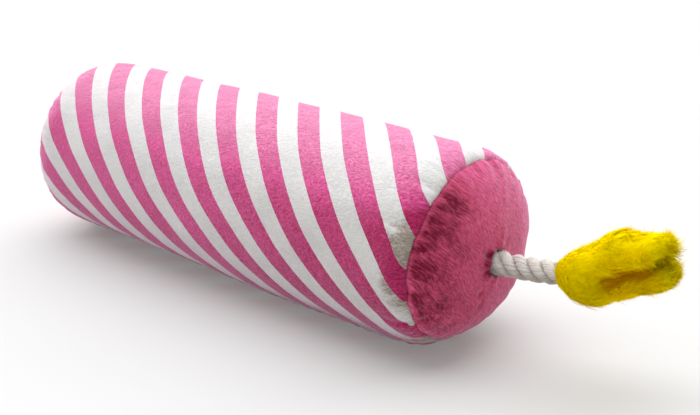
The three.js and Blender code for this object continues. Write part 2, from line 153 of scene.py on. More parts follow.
# ------------------------------------------------------------------ meshes
def make_mesh(name, co, faces, materials, index=None, maps=None, shade=True, normals=None):
    """co in local millimetres; faces is a list of arrays of corners; maps holds arrays with one pair per corner."""
    me = bpy.data.meshes.new(name)
    world = ((np.asarray(co) + SHIFT) * MM).astype(np.float32)
    me.vertices.add(len(world))
    me.vertices.foreach_set("co", world.ravel())
    corners = np.concatenate([f.ravel() for f in faces]).astype(np.int32)
    counts = np.concatenate([np.full(len(f), f.shape[1]) for f in faces])
    starts = np.concatenate([[0], np.cumsum(counts)[:-1]]).astype(np.int32)
    me.loops.add(len(corners))
    me.loops.foreach_set("vertex_index", corners)
    me.polygons.add(len(counts))
    me.polygons.foreach_set("loop_start", starts)
    for m in materials:
        me.materials.append(m)
    if index is not None:
        me.polygons.foreach_set("material_index", np.asarray(index, np.int32))
    me.update(calc_edges=True)
    if shade:
        me.polygons.foreach_set("use_smooth", np.ones(len(counts), bool))
    for key, values in (maps or {}).items():
        layer = me.uv_layers.new(name=key)
        layer.data.foreach_set("uv", np.asarray(values, np.float32).ravel())
    if normals is not None:
        me.normals_split_custom_set_from_vertices(normals.astype(np.float32).tolist())
    me.update()
    ob = bpy.data.objects.new(name, me)
    bpy.context.scene.collection.objects.link(ob)
    return ob


def grid_faces(n, m, wrap, base=0):
    """Quads of an n by m grid of vertices; the second direction closes on itself with wrap."""
    i, j = np.meshgrid(np.arange(n - 1), np.arange(m if wrap else m - 1), indexing="ij")
    j2 = (j + 1) % m
    f = np.stack([i * m + j, (i + 1) * m + j, (i + 1) * m + j2, i * m + j2], -1)
    return f.reshape(-1, 4) + base


def grid_corners(values):
    """values on an n by m+1 unwrapped grid, one entry per corner of grid_faces(n, m, True)."""
    a = np.stack(
        [values[:-1, :-1], values[1:, :-1], values[1:, 1:], values[:-1, 1:]], 2
    )
    return a.reshape(-1, values.shape[-1])


def grid_normals(p, wrap=True):
    """Vertex normals of an n by m grid of points."""
    du = np.gradient(p, axis=0)
    if wrap:
        dv = (np.roll(p, -1, 1) - np.roll(p, 1, 1)) * 0.5
    else:
        dv = np.gradient(p, axis=1)
    return unit(np.cross(du, dv))


# ------------------------------------------------------------------ materials
def material(name):
    m = bpy.data.materials.new(name)
    m.use_nodes = True
    tree = m.node_tree
    tree.nodes.clear()
    out = tree.nodes.new("ShaderNodeOutputMaterial")
    p = tree.nodes.new("ShaderNodeBsdfPrincipled")
    tree.links.new(p.outputs[0], out.inputs[0])
    return m, tree, p


class Net:
    """Short ways to add nodes."""

    def __init__(self, tree):
        self.t = tree

    def put(self, socket, value):
        if isinstance(value, bpy.types.NodeSocket):
            self.t.links.new(value, socket)
        else:
            socket.default_value = value

    def uv(self, name):
        n = self.t.nodes.new("ShaderNodeUVMap")
        n.uv_map = name
        return n.outputs[0]

    def math(self, op, a, b=0.0, c=0.0, clamp=False):
        n = self.t.nodes.new("ShaderNodeMath")
        n.operation = op
        n.use_clamp = clamp
        for s, v in zip(n.inputs, (a, b, c)):
            self.put(s, v)
        return n.outputs[0]

    def vec(self, op, a, b=(0, 0, 0), scale=None):
        n = self.t.nodes.new("ShaderNodeVectorMath")
        n.operation = op
        self.put(n.inputs[0], a)
        if op != "SCALE":
            self.put(n.inputs[1], b)
        if scale is not None:
            self.put(n.inputs["Scale"], scale)
        return n.outputs[0]

    def xyz(self, v):
        n = self.t.nodes.new("ShaderNodeSeparateXYZ")
        self.put(n.inputs[0], v)
        return n.outputs

    def join(self, x, y, z=0.0):
        n = self.t.nodes.new("ShaderNodeCombineXYZ")
        for s, v in zip(n.inputs, (x, y, z)):
            self.put(s, v)
        return n.outputs[0]

    def noise(self, v, scale, detail=2.0, rough=0.5, distort=0.0, dims="3D", lac=2.0):
        n = self.t.nodes.new("ShaderNodeTexNoise")
        n.noise_dimensions = dims
        self.put(n.inputs["Vector"], v)
        n.inputs["Scale"].default_value = scale
        n.inputs["Detail"].default_value = detail
        n.inputs["Roughness"].default_value = rough
        n.inputs["Lacunarity"].default_value = lac
        n.inputs["Distortion"].default_value = distort
        return n.outputs[0]

    def voronoi(self, v, scale, feature="F1", rand=1.0):
        n = self.t.nodes.new("ShaderNodeTexVoronoi")
        n.feature = feature
        self.put(n.inputs["Vector"], v)
        n.inputs["Scale"].default_value = scale
        n.inputs["Randomness"].default_value = rand
        return n.outputs[0]

    def ramp(self, x, a, b, c=0.0, d=1.0, soft=False):
        n = self.t.nodes.new("ShaderNodeMapRange")
        n.interpolation_type = "SMOOTHSTEP" if soft else "LINEAR"
        for s, v in zip(n.inputs, (x, a, b, c, d)):
            self.put(s, v)
        return n.outputs[0]

    def mix(self, f, a, b, mode="MIX"):
        n = self.t.nodes.new("ShaderNodeMix")
        n.data_type = "RGBA"
        n.blend_type = mode
        n.clamp_result = False
        self.put(n.inputs[0], f)
        self.put(n.inputs[6], a)
        self.put(n.inputs[7], b)
        return n.outputs[2]

    def bump(self, height, distance, strength=1.0, normal=None):
        n = self.t.nodes.new("ShaderNodeBump")
        n.inputs["Strength"].default_value = strength
        n.inputs["Distance"].default_value = distance
        self.put(n.inputs["Height"], height)
        if normal is not None:
            self.put(n.inputs["Normal"], normal)
        return n.outputs[0]


def rgb(r, g, b):
    return (r, g, b, 1.0)


PINK = (0.840, 0.110, 0.352)
WHITE = (0.805, 0.812, 0.800)
PANEL = (0.675, 0.078, 0.196)
YELLOW = (0.840, 0.520, 0.000)
ROPE = (0.890, 0.862, 0.812)


def plush(name, striped, base):
    """Short-pile plush. The map "Grain" is the cloth laid flat, in centimetres, x along the nap; "StripesShading"
    counts the stripes, and its second value is painted shading: painted shade above zero, painted highlight below
    zero.
    """
    m, tree, p = material(name)
    n = Net(tree)
    grain = n.uv("Grain")
    gx, gy, _ = n.xyz(grain)
    swirl = n.noise(grain, 1.0, 2.0, 0.5)
    swirl2 = n.noise(n.vec("ADD", grain, (7.3, 2.1, 4.0)), 1.2, 2.0, 0.5)
    turn = 0.6 if striped else 0.35
    wx = n.math("ADD", gx, n.math("MULTIPLY", n.math("SUBTRACT", swirl, 0.5), turn))
    wy = n.math("ADD", gy, n.math("MULTIPLY", n.math("SUBTRACT", swirl2, 0.5), turn))
    # locks of pile: soft clumps, then single tufts a millimetre long, then hairs
    locks = n.noise(n.join(n.math("MULTIPLY", wx, 2.4), n.math("MULTIPLY", wy, 4.6)), 1.0, 2.0, 0.55, 0.5)
    fine = (7.0, 12.5, 0.4) if striped else (4.2, 15.5, 0.12)
    tufts = n.noise(n.join(n.math("MULTIPLY", wx, fine[0]), n.math("MULTIPLY", wy, fine[1])), 1.0, 2.0, 0.6, fine[2])
    hairs = n.noise(n.join(n.math("MULTIPLY", wx, 19.0), n.math("MULTIPLY", wy, 46.0)), 1.0, 1.5, 0.6, 0.3)
    patch = n.noise(grain, 0.55, 3.0, 0.55)
    # the map's second value is painted shading: painted highlight below zero, painted shade above zero
    phase, painted_shading, _ = n.xyz(n.uv("StripesShading"))
    painted_highlight = n.math("MULTIPLY", painted_shading, -1.0, clamp=True)
    depth = n.math("MAXIMUM", painted_shading, 0.0)
    if striped:
        wob = n.noise(grain, 9.0, 2.0, 0.6)
        phase = n.math("ADD", phase, n.math("MULTIPLY", n.math("SUBTRACT", wob, 0.5), 0.020))
        f = n.math("FRACT", phase)
        e = 0.004
        rise = n.ramp(f, 0.0, e * 2, 0.0, 1.0, True)
        fall = n.ramp(f, 0.5185 - e, 0.5185 + e, 1.0, 0.0, True)
        mask = n.math("MULTIPLY", rise, fall)
        colour = n.mix(mask, rgb(*WHITE), rgb(*base))
        low = n.mix(mask, rgb(0.87, 0.87, 0.855), rgb(0.64, 0.36, 0.50))
        high = n.mix(mask, rgb(1.05, 1.05, 1.05), rgb(1.13, 1.24, 1.18))
        # tints of the painted shade
        painted_shade_colour = n.mix(mask, rgb(0.43, 0.36, 0.30), rgb(0.58, 0.18, 0.35))
        # painted highlight: the pink is paler along the top, where the light falls
        colour = n.mix(n.math("MULTIPLY", painted_highlight, mask), colour, n.mix(1.0, colour, rgb(1.02, 2.25, 1.32), "MULTIPLY"))
    else:
        # painted highlight on the panel where the light falls on it
        colour = n.mix(painted_highlight, rgb(*base), rgb(base[0] * 1.24, base[1] * 1.54, base[2] * 1.64))
        low = rgb(0.49, 0.22, 0.31)
        high = rgb(1.27, 1.50, 1.33)
        painted_shade_colour = rgb(0.37, 0.12, 0.20)
    tone = n.math(
        "ADD",
        n.math("MULTIPLY", n.ramp(locks, 0.25, 0.75, 0.0, 1.0), 0.26),
        n.math("MULTIPLY", n.ramp(tufts, 0.36, 0.64, 0.0, 1.0), 0.52),
    )
    tone = n.math("ADD", tone, n.math("MULTIPLY", n.ramp(hairs, 0.32, 0.68, 0.0, 1.0), 0.22), clamp=True)
    if striped:
        # the tufts stand out most toward the front, less under the painted highlight and where the painted shade is
        # moderate, more again where it is heavy
        k = n.math("MULTIPLY", n.ramp(gx, -20.0, -8.0, 0.35, 1.6), n.ramp(painted_highlight, 0.0, 1.0, 1.0, 0.7))
        k = n.math("MULTIPLY", k, n.math("ADD", n.ramp(depth, 0.1, 0.7, 1.0, 0.55), n.ramp(depth, 0.9, 1.4, 0.0, 0.7)))
        tone = n.math("ADD", n.math("MULTIPLY", n.math("SUBTRACT", tone, 0.5), k), 0.5, clamp=True)
    shade = n.mix(tone, low, high)
    colour = n.mix(1.0, colour, shade, "MULTIPLY")
    wide = n.ramp(patch, 0.3, 0.7, 0.93, 1.05)
    colour = n.mix(1.0, colour, n.join(wide, wide, wide), "MULTIPLY")
    # painted shade: darker in folds, seams, recesses and on the lower, shaded side, more in the darker tufts
    painted_shading = n.math("MULTIPLY", depth, n.ramp(tone, 0.15, 0.85, 1.3, 0.7) if striped else n.ramp(tone, 0.15, 0.85, 1.45, 0.55), clamp=True)
    if striped:
        # the painted shade on the white stripes stays weak until it is heavy
        white_painted_shade = n.math("ADD", n.ramp(depth, 0.0, 0.6, 0.0, 0.18), n.ramp(depth, 1.08, 1.8, 0.0, 0.82))
        white_painted_shade = n.math("MULTIPLY", white_painted_shade, n.ramp(tone, 0.15, 0.85, 1.2, 0.8), clamp=True)
        painted_shading = n.math("ADD", white_painted_shade, n.math("MULTIPLY", mask, n.math("SUBTRACT", painted_shading, white_painted_shade)))
    colour = n.mix(1.0, colour, n.mix(painted_shading, rgb(1, 1, 1), painted_shade_colour), "MULTIPLY")
    n.put(p.inputs["Base Color"], colour)
    height = n.math(
        "ADD",
        n.math("MULTIPLY", locks, 0.30),
        n.math("ADD", n.math("MULTIPLY", tufts, 0.62), n.math("MULTIPLY", hairs, 0.18)),
    )
    if striped:
        # the white pile lies smoother than the dyed one
        height = n.math("MULTIPLY", n.math("SUBTRACT", height, 0.55), n.ramp(mask, 0.0, 1.0, 0.62, 1.05))
    n.put(p.inputs["Normal"], n.bump(height, 0.00105, 0.8))
    n.put(p.inputs["Roughness"], n.ramp(locks, 0.2, 0.8, 0.98, 0.88))
    p.inputs["Specular IOR Level"].default_value = 0.1
    p.inputs["Sheen Weight"].default_value = 0.85 if striped else 0.85
    p.inputs["Sheen Roughness"].default_value = 0.45
    p.inputs["Sheen Tint"].default_value = rgb(1.0, 0.66, 0.90) if striped else rgb(1.0, 0.56, 0.82)
    return m


def fibre(name, colour, sheen=0.0, tint=(1, 1, 1), rough=0.85):
    """One shade of pile or fur. A tuft holds several shades."""
    m, tree, p = material(name)
    p.inputs["Base Color"].default_value = rgb(*colour)
    p.inputs["Roughness"].default_value = rough
    p.inputs["Specular IOR Level"].default_value = 0.0
    p.inputs["Sheen Weight"].default_value = sheen
    p.inputs["Sheen Roughness"].default_value = 0.5
    p.inputs["Sheen Tint"].default_value = rgb(*tint)
    return m


def object_material(name, colour, scale, depth, rough=0.8, low=0.8, stretch=(1, 1, 1), sheen=0.0, metallic=0.0):
    """Colour and bump from noise in the object's own coordinates, scale in turns per metre."""
    m, tree, p = material(name)
    n = Net(tree)
    t = tree.nodes.new("ShaderNodeTexCoord")
    v = n.vec("MULTIPLY", t.outputs["Object"], tuple(s * scale for s in stretch))
    a = n.noise(v, 1.0, 4.0, 0.6, 0.3)
    b = n.noise(v, 0.23, 2.0, 0.5)
    k = n.math("ADD", n.ramp(a, 0.3, 0.7, low, 1.04), n.ramp(b, 0.3, 0.7, -0.05, 0.05))
    n.put(p.inputs["Base Color"], n.mix(1.0, rgb(*colour), n.join(k, k, k), "MULTIPLY"))
    n.put(p.inputs["Roughness"], n.ramp(a, 0.3, 0.7, min(rough + 0.1, 1.0), rough - 0.05))
    n.put(p.inputs["Normal"], n.bump(a, depth, 0.6))
    p.inputs["Specular IOR Level"].default_value = 0.3
    p.inputs["Metallic"].default_value = metallic
    if sheen:
        p.inputs["Sheen Weight"].default_value = sheen
    return m


stripes_mat = plush("striped_plush", True, PINK)
panel_mat = plush("pink_plush", False, PANEL)
thread_pink = object_material("pink_thread", (0.58, 0.075, 0.18), 2500, 0.0002, 0.65, 0.75)
thread_white = object_material("white_thread", (0.74, 0.73, 0.70), 2500, 0.0002, 0.65, 0.78)
thread_yellow = object_material("yellow_thread", (0.62, 0.42, 0.01), 2500, 0.0002, 0.65, 0.78)
filling_mat = object_material("fibre_filling", (0.82, 0.82, 0.80), 700, 0.0015, 0.95, 0.8, sheen=0.3)
bulb_mat = object_material("squeaker_bulb", (0.76, 0.74, 0.68), 160, 0.0001, 0.35, 0.93)
holder_mat = object_material("squeaker_holder", (0.86, 0.86, 0.84), 220, 0.0001, 0.4, 0.94)
reed_mat = object_material("reed", (0.72, 0.56, 0.28), 1500, 0.00003, 0.3, 0.85, (1, 8, 1), metallic=1.0)

# ------------------------------------------------------------------ sleeve
N_AROUND = 300
lump = Noise(11)
wrinkle = Noise(23)
pucker_noise = Noise(31)


def cloth_coords(x, th):
    """Along and across the nap on the sleeve's flat cloth, in millimetres: the nap runs nearly lengthwise."""
    s = 42.2 * th
    return 0.9703 * x + 0.2419 * s, -0.2419 * x + 0.9703 * s


def puckers(th, seed, count):
    """Gathers round a ring seam: sharp valleys, rounded crests, no two alike."""
    c, s = np.cos(th), np.sin(th)
    bend = pucker_noise(c * 1.7 + seed, s * 1.7, 3.0) * 2.4
    size = 0.65 + 0.55 * pucker_noise(c * 3.1 + seed, s * 3.1, 9.0)
    w = np.abs(np.sin(th * count * 0.5 + bend))
    return size * (w**0.6 - 0.72)


def ring_radius(t):
    """The front seam isn't a true circle: it is drawn in at the bottom, where the end lifts off the floor."""
    return (
        36.105
        + 0.427 * np.cos(t)
        + 2.511 * np.sin(t)
        + 1.620 * np.cos(2 * t)
        - 1.741 * np.sin(2 * t)
        - 0.195 * np.cos(3 * t)
        - 0.535 * np.sin(3 * t)
        + 0.8 * np.exp((np.cos(t - math.radians(166)) - 1) / 0.02)
        + 1.2 * np.exp((np.cos(t - math.radians(12)) - 1) / 0.03)
        + 0.22 * np.sin(17 * t + 1.3 * np.sin(3 * t))
        + 0.13 * np.sin(29 * t + 2)
    )


REAR_R = 35.7


def rear_stretch(z):
    """How much further back the far end reaches than a flat cut: the cloth bulges there, least underneath."""
    return 3.3 * (1 - 0.75 * smooth(-14, -34, z))


def sleeve_profile():
    ends = []
    for seam, depth, power in ((SEAM_R, SHOULDER, 1.0), (REAR_R, 15.0, 0.9)):
        pts = [(-0.3, seam - 2.8), (-0.45, seam - 1.4), (-0.55, seam - 0.4)]
        for a in np.linspace(math.pi / 2, 0, 14):
            pts.append(
                (-0.6 - depth * (1 - math.sin(a)), seam + 0.1 + (SKIN_R - seam - 0.1) * max(math.cos(a), 0) ** power)
            )
        ends.append(np.array(pts))
    rear = ends[1][::-1].copy()
    rear[:, 0] = -BODY_LEN - rear[:, 0]
    return along(np.concatenate([ends[0], rear]), 262)


profile = sleeve_profile()
th = SEAM_ANGLE + np.linspace(0, 2 * math.pi, N_AROUND + 1)


def sleeve_surface():
    x = profile[:, 0][:, None] * np.ones_like(th)[None]
    r = profile[:, 1][:, None] * np.ones_like(th)[None]
    t = th[None] * np.ones_like(x)
    c, s = np.cos(t), np.sin(t)
    px, py, pz = x, -r * c, r * s
    p, q = cloth_coords(x, t)
    # closeness to either ring seam
    d_front = np.clip(-x - 0.5, 0, None)
    d_rear = np.clip(BODY_LEN + x - 0.5, 0, None)
    inner = smooth(35.6, 37.0, r)
    ring = ring_radius(t) - SEAM_R
    r = r + ring * (1 - smooth(0.0, np.where(ring < 0, 24.0, 13.0), d_front))
    h = 0.42 * lump(px / 46, py / 46, pz / 46) + 0.26 * lump(px / 19 + 5, py / 19, pz / 19)
    h = h * smooth(0, 9, np.minimum(d_front, d_rear))
    # drags in the cloth, along the nap
    ridge = wrinkle(p / 17 + 0.4 * wrinkle(p / 30, q / 30, 2), q / 4.6, 1.0)
    h += 0.06 * ridge
    line = wrinkle(p / 11, q / 3.1 + 0.5 * wrinkle(p / 14, q / 14, 5), 7.0)
    gate = smooth(0.02, 0.45, wrinkle(p / 21 + 3, q / 21, 12.0))
    h -= 0.07 * gate * np.exp(-((line / 0.16) ** 2))
    # the stuffing stands a little higher along the top
    h += 0.6 * smooth(0.60, 0.98, s) * smooth(-20, -55, x) * (1 - smooth(-180, -212, x))
    # gathers at the ring seams
    for d, seed in ((d_front, 0.0), (d_rear, 40.0)):
        fade = 1.0 * np.exp(-((d / 5.5) ** 1.2)) + 0.42 * np.exp(-d / 14)
        fade = fade * (1.0 if seed == 0.0 else 0.75)
        drift = 0.04 * wrinkle(d / 6, t * 3, seed)
        h += fade * puckers(t + drift, seed, 30) * smooth(-0.2, 2.0, d)
        fine = wrinkle(c * 17 + seed + 0.02 * d, s * 17, d / 16)
        h += 0.42 * np.exp(-d / 11) * fine
    # lengthwise seam: a narrow furrow with small puckers
    arc = np.minimum(np.abs(t - SEAM_ANGLE), np.abs(t - SEAM_ANGLE - 2 * math.pi)) * 42
    h -= (0.95 + 0.3 * np.sin(x * 1.1)) * np.exp(-((arc / 1.3) ** 2)) * inner
    h += 0.28 * np.exp(-((arc - 3.0) / 2.4) ** 2) * (1 + 0.8 * np.sin(x * 0.9 + 2 * wrinkle(x / 9, arc * 0, 4)))
    h *= smooth(-0.44, -0.62, x) * smooth(-BODY_LEN + 0.44, -BODY_LEN + 0.62, x)
    r2 = r + h
    # the cloth is pulled in a little under the far end
    r2 = r2 - 1.9 * smooth(-95, -165, x) * smooth(-0.55, -0.95, s) * inner
    x = x - rear_stretch(r2 * s) * smooth(-150, -226, x)
    # painted shade beside both ring seams and in the valleys between their gathers
    painted_shading = np.zeros_like(h)
    for d, seed in ((d_front, 0.0), (d_rear, 40.0)):
        g = -puckers(t + 0.04 * wrinkle(d / 6, t * 3, seed), seed, 30)
        painted_shading += (0.28 if seed == 0.0 else 0.42) * np.exp(-((d / 2.6) ** 1.1)) + 0.42 * smooth(0.0, 0.9, g) * np.exp(-d / 7.5)
    # painted shade along the lower part toward the front, the side turned from the light
    low_front_shade = smooth(-125, -35, x) * (1 - smooth(0.35, 0.90, s))
    streak = 0.75 + 0.6 * wrinkle(p / 5, q / 1.6, 20.0) + 0.3 * wrinkle(p / 12, q / 9, 22.0)
    # painted shade across the lower side, and a painted contact shadow underneath
    painted_shading += 0.22 * np.exp(-(((s - 0.28) / 0.30) ** 2))
    painted_shading += 0.46 * low_front_shade + 0.55 * smooth(0.25, -0.60, s) + 0.85 * smooth(-0.58, -0.80, s)
    # a streaked painted shadow on the sleeve beside the front seam
    gathered = np.exp(-((d_front / 12) ** 1.5)) * smooth(-0.45, 0.0, s) * (1 - smooth(0.42, 0.94, s))
    painted_shading += (1.35 + 0.60 * np.exp(-d_front / 6)) * gathered * streak
    # painted shade in the lengthwise seam's furrow and in the drag lines
    painted_shading += 0.5 * np.exp(-((arc / 0.9) ** 2)) + 0.10 * gate * np.exp(-((line / 0.12) ** 2))
    # painted highlight along the top, carried below zero
    painted_shading = np.clip(painted_shading, 0, 1.8) - 0.95 * smooth(0.42, 0.93, s)
    z = settle(r2 * s)
    close = 0.80 * np.exp(-((d_front / 2.5) ** 2))
    return np.stack([x + close, -r2 * c, z], -1), t, x, painted_shading


surface, t_grid, x_grid, painted_shading_grid = sleeve_surface()
surface[:, -1] = surface[:, 0]
arc_len = np.concatenate([[0], np.cumsum(np.linalg.norm(np.diff(profile, axis=0), axis=1))])


def stripe_phase(x_local, t):
    return (x_local + SHIFT_FIT + 150.876 + 40.648 * t) / 25.293


phase = stripe_phase(x_grid, t_grid)
phase = phase + 0.008 * lump(x_grid / 24, t_grid * 2.2, 5.0)
# the striped cloth is drawn a little round and forward where it is gathered to the front panel
d_seam = np.clip(-x_grid - 0.5, 0, None)
t_deg = np.degrees(t_grid)
near = np.exp(-((d_seam / 16) ** 2)) * (1 - smooth(48, 78, t_deg))
phase = phase - 0.055 * (1 - smooth(12, 62, d_seam)) * smooth(10, 55, t_deg) * (1 - 1.1 * near)
phase = phase + 0.12 * np.exp(-((d_seam / 7.0) ** 1.2)) * (1 - smooth(5, 45, t_deg)) * smooth(-60, -40, t_deg)
phase = phase - 0.02 * (1 - smooth(4, 34, d_seam)) * (1 - smooth(10, 40, t_deg)) * smooth(-10, 5, t_deg)
phase = phase - np.exp(-((d_seam / 7) ** 2)) * (0.04 * smooth(92, 118, t_deg) + 0.18 * smooth(113, 128, t_deg))
# the print isn't quite true to the roll: how far the stripes lie off it, in thousandths of a repeat
OFF_X = (-205, -155, -105, -55, -5)
OFF_T = (-32, -5, 22, 49, 76, 100)
OFF = (
    (62, 49, -12, -12, -6, 0),
    (-72, -5, 29, 11, 8, 2),
    (-31, 29, -23, -1, 27, 22),
    (5, -12, -30, -19, 8, 15),
    (-80, -49, -33, -12, -3, -9),
)


def between(v, nodes):
    """Which pair of nodes v lies between, and how far along."""
    v = np.clip(v, nodes[0], nodes[-1])
    i = np.clip(np.searchsorted(nodes, v, side="right") - 1, 0, len(nodes) - 2)
    n = np.asarray(nodes, float)
    return i, smooth(n[i], n[i + 1], v)


ix, ux = between(x_grid, OFF_X)
it, ut = between(t_deg, OFF_T)
off = np.array(OFF) * 0.001
off = (1 - ux) * ((1 - ut) * off[ix, it] + ut * off[ix, it + 1]) + ux * ((1 - ut) * off[ix + 1, it] + ut * off[ix + 1, it + 1])
phase = phase - 0.0061 - off
p_grid, q_grid = cloth_coords(x_grid, t_grid)
uv_bake = np.stack(
    [
        0.01 + 0.98 * (arc_len / arc_len[-1])[:, None] * np.ones_like(t_grid),
        0.01 + 0.98 * (t_grid - SEAM_ANGLE) / (2 * math.pi),
    ],
    -1,
)
verts = surface[:, :-1].reshape(-1, 3)
faces = [grid_faces(len(profile), N_AROUND, True)]
maps = {
    "OFBake": grid_corners(uv_bake),
    "StripesShading": grid_corners(np.stack([phase, painted_shading_grid], -1)),
    "Grain": grid_corners(np.stack([p_grid * 0.1, q_grid * 0.1], -1)),
}
# the cloth's inside, 1.6 mm in, joined at both rims so that the sleeve is one closed skin
rings_in = np.linspace(0, len(profile) - 1, 24).astype(int)
nrm = grid_normals(surface[:, :-1])
out_sign = np.sign((nrm[130, :, 2] * surface[130, :-1, 2]).sum())
nrm = nrm * out_sign
inner_pts = surface[rings_in][:, :-1].copy()
inner_pts[:, :, 1:] *= 1 - 1.7 / np.linalg.norm(inner_pts[:, :, 1:], axis=-1, keepdims=True)
base = len(verts)
verts = np.concatenate([verts, inner_pts.reshape(-1, 3)])
in_faces = grid_faces(len(rings_in), N_AROUND, True, base)[:, ::-1]
j = np.arange(N_AROUND)
j2 = (j + 1) % N_AROUND
last = (len(profile) - 1) * N_AROUND
last_in = base + (len(rings_in) - 1) * N_AROUND
rim_a = np.stack([base + j, j, j2, base + j2], -1)
rim_b = np.stack([last + j, last_in + j, last_in + j2, last + j2], -1)
faces += [in_faces, rim_a, rim_b]
extra = (len(in_faces) + 2 * N_AROUND) * 4
for key in maps:
    fill = np.tile(np.array([[0.004, 0.004], [0.006, 0.004], [0.006, 0.006], [0.004, 0.006]]), (extra // 4, 1))
    maps[key] = np.concatenate([maps[key], fill])
sleeve = make_mesh("plush_sleeve", verts, faces, [stripes_mat], maps=maps)
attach(sleeve, "body")
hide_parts("striped_sleeve")

# ------------------------------------------------------------------ end panels
HOLE_R = 5.15
pleat = Noise(57)
# dents where stitches draw the rim in: angle, distance in from the rim, depth, length, width
FRONT_DENTS = (
    (71, 1.2, 0.35, 2.2, 1.3),
    (56, 1.9, 0.6, 2.6, 1.5),
    (47, 1.2, 0.7, 1.8, 1.2),
    (38, 2.0, 1.3, 2.4, 1.5),
    (29, 1.2, 0.8, 1.8, 1.2),
    (20, 1.9, 1.2, 2.6, 1.5),
    (10, 2.8, 0.9, 3.2, 2.0),
    (-9, 1.8, 1.0, 2.4, 1.5),
    (-29, 1.5, 0.8, 2.2, 1.4),
    (88, 1.4, 0.35, 2.8, 1.6),
    (106, 1.8, 0.5, 3.2, 1.7),
    (128, 1.6, 0.7, 3.0, 1.9),
    (150, 2.0, 0.8, 3.2, 1.8),
    (172, 1.7, 0.7, 3.0, 1.8),
    (198, 1.8, 0.7, 3.0, 1.7),
    (-47, 22.3, 0.55, 1.7, 1.3),
    (-60, 17.0, 0.60, 2.1, 1.2),
)


